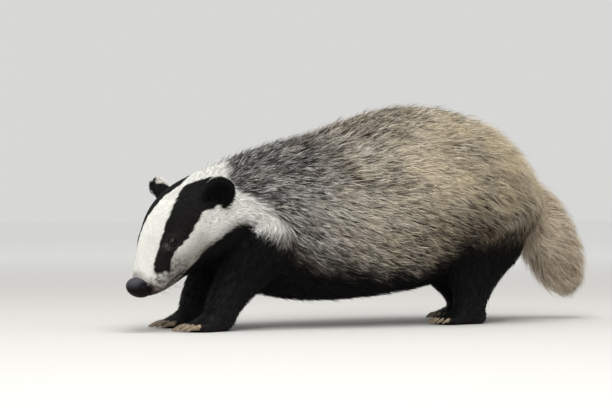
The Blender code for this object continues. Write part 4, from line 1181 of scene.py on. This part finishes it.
near_eye = np.clip((off_eyes - EYE_SHORT_FROM) / EYE_SHORT_OVER, EYE_SHORTEST, 1)
strip = np.where(on_leg, station + (form - 1) * LEG_STRIP, station)
coat_ground = Ground(skin.data, {
    "lie": lie, "marks": marks, "tint": tint, "strand": undercoat,
    "length": by_form(over(station, LENGTHS), TAIL_LENGTH, over(points[:, 2], LEG_LENGTHS)) * near_eye,
    "depth": by_form(trunk_coat, tail_coat, leg_coat) * CORE_SHARE + SHORT_FUR,
    "width": by_form(over(station, WIDTHS), TAIL_WIDTH, over(points[:, 2], LEG_WIDTHS)),
    "unwrap": np.stack([strip, around], axis=1),
})
soles = (points[:, 2] < SOLE_CLEAR) & (normals[:, 2] < SOLE_FACING)
mouth = (off_mouth < MOUTH_CLEAR) & (level[:, 0] < MOUTH_CORNER_X)
kept_clear = soles | mouth | (off_nose < NOSE_CLEAR) | (off_eyes < EYE_CLEAR)
print("points kept clear of fur:", int(kept_clear.sum()))

# %% Grow the coat
# Spacing and pull of the guide tufts (clump) and of the small locks, how far tufts stray and curl, how mixed
# and varied their colours are, and how many stand off loose and by how much
HEAD_FUR = {
    "clump": 0.0060, "pull": 0.15, "lock": 0.0018, "lock_pull": 0.35, "clump_stray": 0.07, "stray": 0.08,
    "curl": 0.03, "mixed": 0.10, "varied": 0.16, "loose": 0.0, "loose_rise": 0.0, "slot": "white_fur",
}
BODY_FUR = {
    "clump": 0.0080, "pull": 0.20, "lock": 0.0024, "lock_pull": 0.60, "clump_stray": 0.12, "stray": 0.11,
    "curl": 0.06, "mixed": 0.22, "varied": 0.30, "loose": 0.12, "loose_rise": 0.0065, "slot": "grey_fur",
}
DARK_FUR = dict(BODY_FUR, clump=0.0060, varied=0.10, loose=0.05, loose_rise=0.003, slot="black_fur")
RUMP_FUR = dict(BODY_FUR, loose=0.24, loose_rise=0.0095)
TAIL_FUR = dict(BODY_FUR, clump_stray=0.20, stray=0.16, loose=0.42, loose_rise=0.0140, slot="pale_fur")
NECK_FUR = dict(BODY_FUR, lock=0.0019, varied=0.42)
FACE_END, HEAD_END, NECK_END, SHOULDER_END, FLANK_END = 5.1, 8.2, 10.8, 13.1, 15.1
OVERLAP, BELLY_BLACK, FIRST_SEED = 0.15, 0.93, 20
belly = on_trunk & (black > BELLY_BLACK) & (station > HEAD_END)


def zone(mask):
    return (mask & ~kept_clear).astype(float)


def stretch(first, last):
    """Where the upper coat lies between two stations."""
    return on_trunk & ~belly & (station >= first - OVERLAP) & (station < last + OVERLAP)


# Name, number of tufts, where they grow, and their sizes
coat = (
    ("coat_face", 18000, zone(stretch(0.25, FACE_END)), HEAD_FUR),
    ("coat_crown_and_cheeks", 16000, zone(stretch(FACE_END, HEAD_END)), HEAD_FUR),
    ("coat_neck", 18500, zone(stretch(HEAD_END, NECK_END)), NECK_FUR),
    ("coat_shoulder", 19500, zone(stretch(NECK_END, SHOULDER_END)), BODY_FUR),
    ("coat_flank", 19500, zone(stretch(SHOULDER_END, FLANK_END)), BODY_FUR),
    ("coat_rump", 19500, zone(stretch(FLANK_END, 19)), RUMP_FUR),
    ("coat_belly", 8500, zone(belly), DARK_FUR),
    ("coat_legs", 12500, zone(on_leg), DARK_FUR),
    ("coat_tail", 12500, zone(on_tail), TAIL_FUR),
)
for seed, (name, amount, weight, size) in enumerate(coat, start=FIRST_SEED):
    grow(name, coat_ground, amount, weight, size, seed)


# %% [markdown]
# ## Whiskers
# Whiskers are longer and stiffer than fur. A few stand on each whisker cushion. They are the same spikes as
# the tufts, only thinner, and curve out and back.

# %% Whiskers
WHISKERS = 14  # on each side
WHISKER_BED, WHISKER_SPREAD = (-0.2490, 0.0170, 0.0500), (0.0085, 0.0, 0.0060)
WHISKER_LENGTHS, WHISKER_WIDTH, WHISKER_SEED = (0.012, 0.024), 0.00030, 60
BACKWARDS, SIDEWAYS, DOWNWARDS = 0.75, 0.35, (-0.6, 0.1)  # where they point, on the level head
OUT_AT_ROOT, OUT_AT_TIP, BACK_AT_ROOT = 1.0, 0.5, 0.6
draw = np.random.default_rng(WHISKER_SEED)
turn = np.array(head_frame().to_3x3())
bed = []
for side in SIDES.values():
    middle = np.array(WHISKER_BED) * (1, side, 1)
    bed.append(middle + draw.uniform(-1, 1, (WHISKERS, 3)) * WHISKER_SPREAD)
bed = np.concatenate(bed)
sides = np.repeat(list(SIDES.values()), WHISKERS)
root, facing, _ = coat_ground.nearest([head_frame() @ Vector(place) for place in bed])
down = draw.uniform(*DOWNWARDS, len(sides))
back = np.column_stack([np.full(len(sides), BACKWARDS), sides * SIDEWAYS, down]) @ turn.T
length = draw.uniform(*WHISKER_LENGTHS, len(sides))[:, None]
middle = root + unit(facing * OUT_AT_ROOT + back * BACK_AT_ROOT) * length * 0.5
tip = middle + unit(facing * OUT_AT_TIP + back) * length * 0.5
across = unit(np.cross(facing, back))
width = np.full(len(sides), WHISKER_WIDTH)
places = bent_spikes(root - facing * ROOT_SUNK, middle, tip, across, facing, width)
whiskers = linked("whiskers", joined("whiskers", places))
whisker_finish = Finish("whisker", Roughness=0.5, Specular_IOR_Level=0.3)
whisker_finish.set("Base Color", whisker_finish.mottled(90.0, (24, 21, 20), (120, 112, 104)))
whiskers.data.materials.append(whisker_finish.material)
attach(whiskers, "root")
print("whiskers:", len(sides))

# %% [markdown]
# ## Ears
# A badger's ears are small, thick and round, black with a white edge. Each is a cupped shell: an ellipsoid
# with a smaller one cut from its front, melted and smoothed so that its rim is soft. Short fur grows over the
# back and out over the rim, and longer fur fills the cup.

# %% Ear shells
EAR_BASE = (-0.1975, 0.0395, 0.1348)
EAR_UP, EAR_FACE = (0.10, 0.55, 0.83), (-0.50, 0.80, -0.30)
EAR_RISE, EAR_PROUD = 0.0058, 0.0025
EAR_RADII = (0.0156, 0.0171, 0.0080)
EAR_HOLLOW, EAR_HOLLOW_OUT = (0.0125, 0.0142, 0.0080), 0.0050
EAR_VOXEL = 0.0007
EAR_PASSES, SHELL_SIDES, SHELL_RINGS = 6, 40, 28
WHITE_EDGE_FROM, WHITE_EDGE_WIDTH = 0.30, 0.20  # of the ear's height, on its back
EDGE_FACING, EDGE_FACING_WIDTH = -0.1, 0.5
EAR_WARM, EAR_DARKNESS = 0.5, 0.9
CUP_FACING, CUP_SHARE, CUP_THINNER = 0.3, 0.8, 0.5  # where the fur of the cup grows, and its share on top
EAR_LENGTH, CUP_LONGER, EDGE_LONGER = 0.0055, 0.0050, 0.0070
EAR_DEPTH, CUP_DEEPER, EDGE_DEEPER = 0.0010, 0.0050, 0.0020
EAR_WIDTH, EAR_TUFTS, EAR_SEED = 0.0006, 3800, 40
EAR_UNWRAP_STEP = 0.04  # between the front and the back of an unwrapped ear
EAR_FUR = dict(HEAD_FUR, stray=0.18, varied=0.12, mixed=0.08, slot="black_fur")


def ear_matrix(side):
    """Carries a shape from the origin to one ear: Y to its tip, Z out of its cup."""
    up = on_side(EAR_UP, side).normalized()
    face = square_to(on_side(EAR_FACE, side), up)
    base = on_side(EAR_BASE, side) + up * EAR_RISE + face * EAR_PROUD
    frame = Matrix((up.cross(face), up, face)).transposed().to_4x4()
    return head_frame() @ Matrix.Translation(base) @ frame


def cut_from(obj, others):
    """Cuts closed pieces from an object."""
    for other in others:
        cut = obj.modifiers.new("cut", "BOOLEAN")
        cut.operation = "DIFFERENCE"
        cut.object = other
    settled(obj)
    for other in others:
        bpy.data.objects.remove(other)
    return obj


def solid_ellipsoid(name, centre, radii, turn=Matrix.Identity(4)):
    bm = bmesh.new()
    add_ellipsoid(bm, centre, radii, turn, SHELL_SIDES, SHELL_RINGS)
    return object_of(bm, name)


def make_ear(side_name):
    shell = solid_ellipsoid("fine_ear_" + side_name, (0, 0, 0), EAR_RADII)
    hollow = solid_ellipsoid("hollow", (0, 0, EAR_HOLLOW_OUT), EAR_HOLLOW)
    ear = melted(cut_from(shell, [hollow]), EAR_VOXEL, EAR_PASSES)
    local, turned_to = read_points(ear.data), read_points(ear.data, "normal")
    matrix = ear_matrix(SIDES[side_name])
    if matrix.determinant() < 0:
        ear.data.flip_normals()
    ear.data.transform(matrix)
    ear.data.materials.append(skin_finish)
    ear.data.shade_smooth()
    number = len(local)
    rise = local[:, 1] / EAR_RADII[1]
    edge = step(rise, WHITE_EDGE_FROM, WHITE_EDGE_WIDTH)
    edge *= 1 - step(turned_to[:, 2], EDGE_FACING, EDGE_FACING_WIDTH)
    ear_marks = np.stack([edge, 1 - edge, np.full(number, EAR_WARM)], axis=1)
    ear_strand = np.tile((UNDERCOAT_ALONG, EAR_DARKNESS, 0.0), (number, 1))
    ear_tint = np.zeros((number, 3))
    frame = np.array(matrix.to_3x3())
    outward = local * (0.8, 0.4, 0) + (0, EAR_RADII[1] * 0.9, 0)  # up, and out to both sides
    ear_lie = flat_on(unit(outward @ frame.T), read_points(ear.data, "normal"))
    for name, values in (("marks", ear_marks), ("strand", ear_strand), ("tint", ear_tint)):
        set_attribute(ear.data, name, values)
    inside = (turned_to[:, 2] > CUP_FACING) & (np.hypot(local[:, 0] / EAR_RADII[0], rise) < CUP_SHARE)
    fill = np.where(inside, 1 - CUP_THINNER * np.clip(rise, 0, 1), 0.0)
    ground = Ground(ear.data, {
        "lie": ear_lie, "marks": ear_marks, "tint": ear_tint, "strand": ear_strand,
        "length": EAR_LENGTH + CUP_LONGER * fill + EDGE_LONGER * edge,
        "depth": EAR_DEPTH + CUP_DEEPER * fill + EDGE_DEEPER * edge,
        "width": np.full(number, EAR_WIDTH),
        "unwrap": local[:, :2] + np.where(local[:, 2:] > 0, EAR_UNWRAP_STEP, 0.0),
    })
    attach(ear, "root")
    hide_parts("ear_" + side_name)
    grow("ear_fur_" + side_name, ground, EAR_TUFTS, np.ones(number), EAR_FUR, EAR_SEED + SIDES[side_name])
    return ear


ears = [make_ear(side_name) for side_name in SIDES]
print("ears:", [len(ear.data.polygons) for ear in ears])

# %% [markdown]
# ## Eyes and lids
# A mounted animal has glass eyes: a dark ball under a clear, wet layer. The lids are a soft oval rim of dark
# skin, spun from a small circle and squeezed, and tilted to the side of the head. Their pale grey flecks are
# partly the skin's own grey and partly painted highlights on the wet rim.

# %% Eyes and lids
EYE_PROUD = 0.0030  # how far the ball stands out of the skin
LID_RADIUS, LID_SQUEEZE, LID_DEEPER, LID_TUBE = 0.0048, 0.86, 1.25, 0.00055
LID_SIDES, LID_STEPS = 10, 40
LID_SUNK = 0.0024  # how far the rim lies behind the front of the ball
EYE_LINE = (-0.55, 0, -0.83)  # from the back corner of the eye to the front one
EYE_LOOK_OUT = 0.004  # the skin over the eye is looked up from this far out
eye_finish = Finish("eye_glass", Roughness=0.03, Specular_IOR_Level=0.16)
eye_finish.set("Base Color", eye_finish.mottled(700.0, (2, 2, 2), (8, 5, 4)))
lid_finish = Finish("lid_skin", Roughness=0.42, Specular_IOR_Level=0.25)
# Dark lid skin with pale grey flecks, which are partly painted highlights on the wet rim
lid_finish.set("Base Color", lid_finish.mottled(1500.0, (8, 7, 7), (70, 65, 63)))
lid_finish.relief(lid_finish.noise(2600.0), 0.5, 0.0003)


def eye_matrix(side_name):
    """Carries a shape from the origin to one eye: X forward, Y up, Z out of the head."""
    low, top = (Vector(corner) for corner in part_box("eye_" + side_name))
    turn = head_frame().to_3x3()
    sideways = (turn @ Vector((0, SIDES[side_name], 0))).normalized()
    centre = (low + top) / 2
    surface, facing, _, _ = coat_ground.tree.find_nearest(centre + sideways * EYE_LOOK_OUT)
    out = (facing + sideways).normalized()
    centre += out * (EYE_PROUD - (top.z - low.z) / 2 - (centre - surface).dot(out))
    forward = square_to(turn @ Vector(EYE_LINE), out)
    return Matrix.Translation(centre) @ Matrix((forward, out.cross(forward), out)).transposed().to_4x4()


for side_name in SIDES:
    low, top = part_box("eye_" + side_name)
    radius = (top[2] - low[2]) / 2
    eye = solid_ellipsoid("fine_eye_" + side_name, (0, 0, 0), (radius, radius, radius))
    eye.data.transform(eye_matrix(side_name))
    eye.data.materials.append(eye_finish.material)
    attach(eye, "root")
    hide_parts("eye_" + side_name)
    bm = bmesh.new()
    bmesh.ops.create_circle(bm, segments=LID_SIDES, radius=LID_TUBE)
    upright = Matrix.Translation((LID_RADIUS, 0, 0)) @ Matrix.Rotation(math.radians(90), 4, "X")
    bmesh.ops.transform(bm, matrix=upright, verts=bm.verts)
    bmesh.ops.spin(bm, geom=bm.verts[:] + bm.edges[:], cent=(0, 0, 0), axis=(0, 0, 1),
                   angle=2 * math.pi, steps=LID_STEPS, use_merge=True)
    squeeze = Matrix.Diagonal((1, LID_SQUEEZE, LID_DEEPER, 1))
    bmesh.ops.transform(bm, matrix=Matrix.Translation((0, 0, radius - LID_SUNK)) @ squeeze, verts=bm.verts)
    bmesh.ops.transform(bm, matrix=eye_matrix(side_name), verts=bm.verts)
    lids = object_of(bm, "lids_" + side_name)
    lids.data.materials.append(lid_finish.material)
    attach(lids, "root")
    print("eye radius:", round(radius, 4), "lids:", len(lids.data.polygons), "faces")

# %% [markdown]
# ## Nose
# The nose is a bare, moist pad with two comma-shaped nostrils and a groove down its middle. The holes are cut
# from a tilted ellipsoid, and a fine melt rounds their edges as skin does. Small cells give a grain. The
# pad is near black, and its top is painted slate grey as a painted highlight of the sky.

# %% Nose pad
NOSE_CENTRE, NOSE_RADII, NOSE_TILT = (-0.2636, 0.0, 0.0451), (0.0140, 0.0124, 0.0100), math.radians(14)
NOSTRIL = ((-0.0034, 0.0110, 0.0010), (0.0032, 0.0028, 0.0028))
NOSTRIL_COMMA = ((0.0016, 0.0120, 0.0024), (0.0046, 0.0026, 0.0012))
GROOVE = ((-0.0135, 0.0, -0.0055), (0.0035, 0.0006, 0.0060))
NOSE_VOXEL, NOSE_PASSES = 0.00045, 4
# The pad's top is painted slate grey, a painted highlight of the sky, over this height and within this
# breadth, each with its soft edge
SKY_HIGHLIGHT_OVER, SKY_HIGHLIGHT_WITHIN = (0.0465, 0.009), (0.0095, 0.006)
nose = solid_ellipsoid("fine_nose", NOSE_CENTRE, NOSE_RADII, Matrix.Rotation(NOSE_TILT, 4, "Y"))
holes = [solid_ellipsoid("groove", Vector(NOSE_CENTRE) + Vector(GROOVE[0]), GROOVE[1])]
for side in SIDES.values():
    for place, radii in (NOSTRIL, NOSTRIL_COMMA):
        holes.append(solid_ellipsoid("nostril", Vector(NOSE_CENTRE) + on_side(place, side), radii))
nose = melted(cut_from(nose, holes), NOSE_VOXEL, NOSE_PASSES)
local = read_points(nose.data)
sky_highlight_share = step(local[:, 2], *SKY_HIGHLIGHT_OVER) * (1 - step(np.abs(local[:, 1]), *SKY_HIGHLIGHT_WITHIN))
set_attribute(nose.data, "tint", np.repeat(sky_highlight_share[:, None], 3, axis=1))
nose.data.transform(head_frame())
nose.data.shade_smooth()
nose_finish = Finish("nose_leather", Roughness=0.45, Specular_IOR_Level=0.05)
# Slate grey on top is a painted highlight; the near black below is the pad's own colour
painted_sky_highlight = nose_finish.mottled(300.0, (60, 60, 66), (80, 78, 84))
black_skin = nose_finish.mottled(500.0, (5, 4, 4), (24, 17, 15))
nose_finish.set("Base Color", nose_finish.mix(nose_finish.parts("tint")[0], black_skin, painted_sky_highlight))
nose_finish.relief(nose_finish.cells(1700.0), 0.35, 0.0004)
nose.data.materials.append(nose_finish.material)
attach(nose, "root")
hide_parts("nose")
print("nose:", len(nose.data.polygons), "faces")

# %% [markdown]
# ## Claws
# Digging claws are long in front and shorter behind: curved, blunt and of pale horn with darker flecks. One
# claw is a circle extruded in steps along a curve and made smaller each time, and each foot gets five.

# %% Claws
CLAW_STEPS, CLAW_SIDES, CLAW_TAPER = 7, 10, 0.78
CLAW_DROP, CLAW_ARCH = 0.0036, 0.25  # how far the tip lies below the root, and how much it rises first
CLAW_ROOT, CLAW_LIFT, CLAW_HIGHER = 0.45, 0.0008, 1.3
claw_finish = Finish("claw_horn", Roughness=0.38, Specular_IOR_Level=0.5)
claw_finish.set("Base Color", claw_finish.mottled(260.0, (92, 78, 62), (168, 150, 124), detail=4.0))
claw_finish.relief(claw_finish.noise(1400.0), 0.3, 0.0003)
upright = Matrix.Diagonal((1, 1, CLAW_HIGHER, 1)) @ Matrix.Rotation(math.radians(90), 4, "Y")
bm = bmesh.new()
for leg in STRIDE:
    for middle, size in toe_places(leg):
        start = middle + Vector((-size["reach"] * CLAW_ROOT, 0, CLAW_LIFT))
        ring = bmesh.ops.create_circle(bm, segments=CLAW_SIDES, radius=size["claw_width"], cap_ends=True)
        ring = ring["verts"]
        bmesh.ops.transform(bm, matrix=Matrix.Translation(start) @ upright, verts=ring)
        face, centre, breadth = ring[0].link_faces[0], start, 1
        for i in range(1, CLAW_STEPS + 1):
            t = i / CLAW_STEPS
            fall = CLAW_DROP * (CLAW_ARCH * t - (1 + CLAW_ARCH) * t * t)
            there = start + Vector((-size["claw"] * t, 0, fall))
            verts, face = extruded(bm, face)
            bmesh.ops.translate(bm, verts=verts, vec=there - centre)
            smaller = (1 - CLAW_TAPER * t) / breadth
            bmesh.ops.scale(bm, verts=verts, vec=(1, smaller, smaller), space=Matrix.Translation(-there))
            breadth *= smaller
            centre = there
bmesh.ops.remove_doubles(bm, verts=bm.verts, dist=1e-6)
claws = object_of(bm, "claws")
claws.data.materials.append(claw_finish.material)
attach(claws, "root")
print("claws:", len(claws.data.polygons), "faces")

# %% [markdown]
# ## Floor, light and camera
# The floor is plain and pale, and painted paler away from the animal as painted light, where the lamps light
# it less. A large soft light overhead and a weaker one from the camera's side stand for an open sky. The
# camera looks level from the animal's front left, as the photograph does.

# %% Studio
FLOOR_SIZE, FLOOR_LIGHT_PAINTED = 12.0, (0.6, 3.5)  # painted light: it is painted paler between two distances, where the lamps light it less
SKY, SKY_STRENGTH = (0.91, 0.91, 0.90, 1.0), 0.75
bm = bmesh.new()
bmesh.ops.create_grid(bm, x_segments=1, y_segments=1, size=FLOOR_SIZE)
floor = object_of(bm, "floor")
floor_finish = Finish("floor", Roughness=0.9)
away = floor_finish.node("ShaderNodeVectorMath", {"operation": "LENGTH"}, {0: floor_finish.place()}, out=1)
painted_far_light = away.ramp(*FLOOR_LIGHT_PAINTED)
# Painted light: the floor is painted paler far from the animal, where the lamps light it less
floor_finish.set("Base Color", floor_finish.mix(painted_far_light, shade(205, 203, 199), shade(250, 250, 248)))
floor.data.materials.append(floor_finish.material)


def soft_light(name, place, aim, size, power):
    data = bpy.data.lights.new(name, "AREA")
    data.shape = "DISK"
    data.size = size
    data.energy = power
    light = linked(name, data)
    light.location = place
    light.rotation_euler = (Vector(aim) - Vector(place)).to_track_quat("-Z", "Y").to_euler()


soft_light("sky", (-0.3, -0.5, 1.9), (0, 0, 0.1), 1.6, 27)
soft_light("front", (-0.85, -1.25, 1.15), (-0.1, 0, 0.1), 0.55, 9.5)
world = bpy.data.worlds.new("studio")
world.use_nodes = True
world.node_tree.nodes["Background"].inputs["Color"].default_value = SKY
world.node_tree.nodes["Background"].inputs["Strength"].default_value = SKY_STRENGTH
bpy.context.scene.world = world
bpy.context.scene.view_settings.view_transform = "Standard"

# The photograph's camera: level, 30 degrees round to the front from a plain side view
CAMERA_DISTANCE, CAMERA_HEIGHT, CAMERA_ALONG = 2.4, 0.128, -0.0467
CAMERA_TURN = math.radians(-30)
FOCAL_PIXELS, PHOTO_WIDTH = 2261, 612
ahead = Vector((-math.sin(CAMERA_TURN), math.cos(CAMERA_TURN), 0))
right = Vector((math.cos(CAMERA_TURN), math.sin(CAMERA_TURN), 0))
lens = bpy.data.cameras.new("camera")
lens.sensor_width = 36
lens.lens = FOCAL_PIXELS / PHOTO_WIDTH * lens.sensor_width
camera = linked("camera", lens)
camera.location = CENTRED - ahead * CAMERA_DISTANCE + right * CAMERA_ALONG + Vector((0, 0, CAMERA_HEIGHT))
camera.rotation_euler = (math.radians(90), 0, CAMERA_TURN)
bpy.context.scene.camera = camera
print("lens:", round(lens.lens, 1), "mm; camera at", np.round(camera.location, 3).tolist())
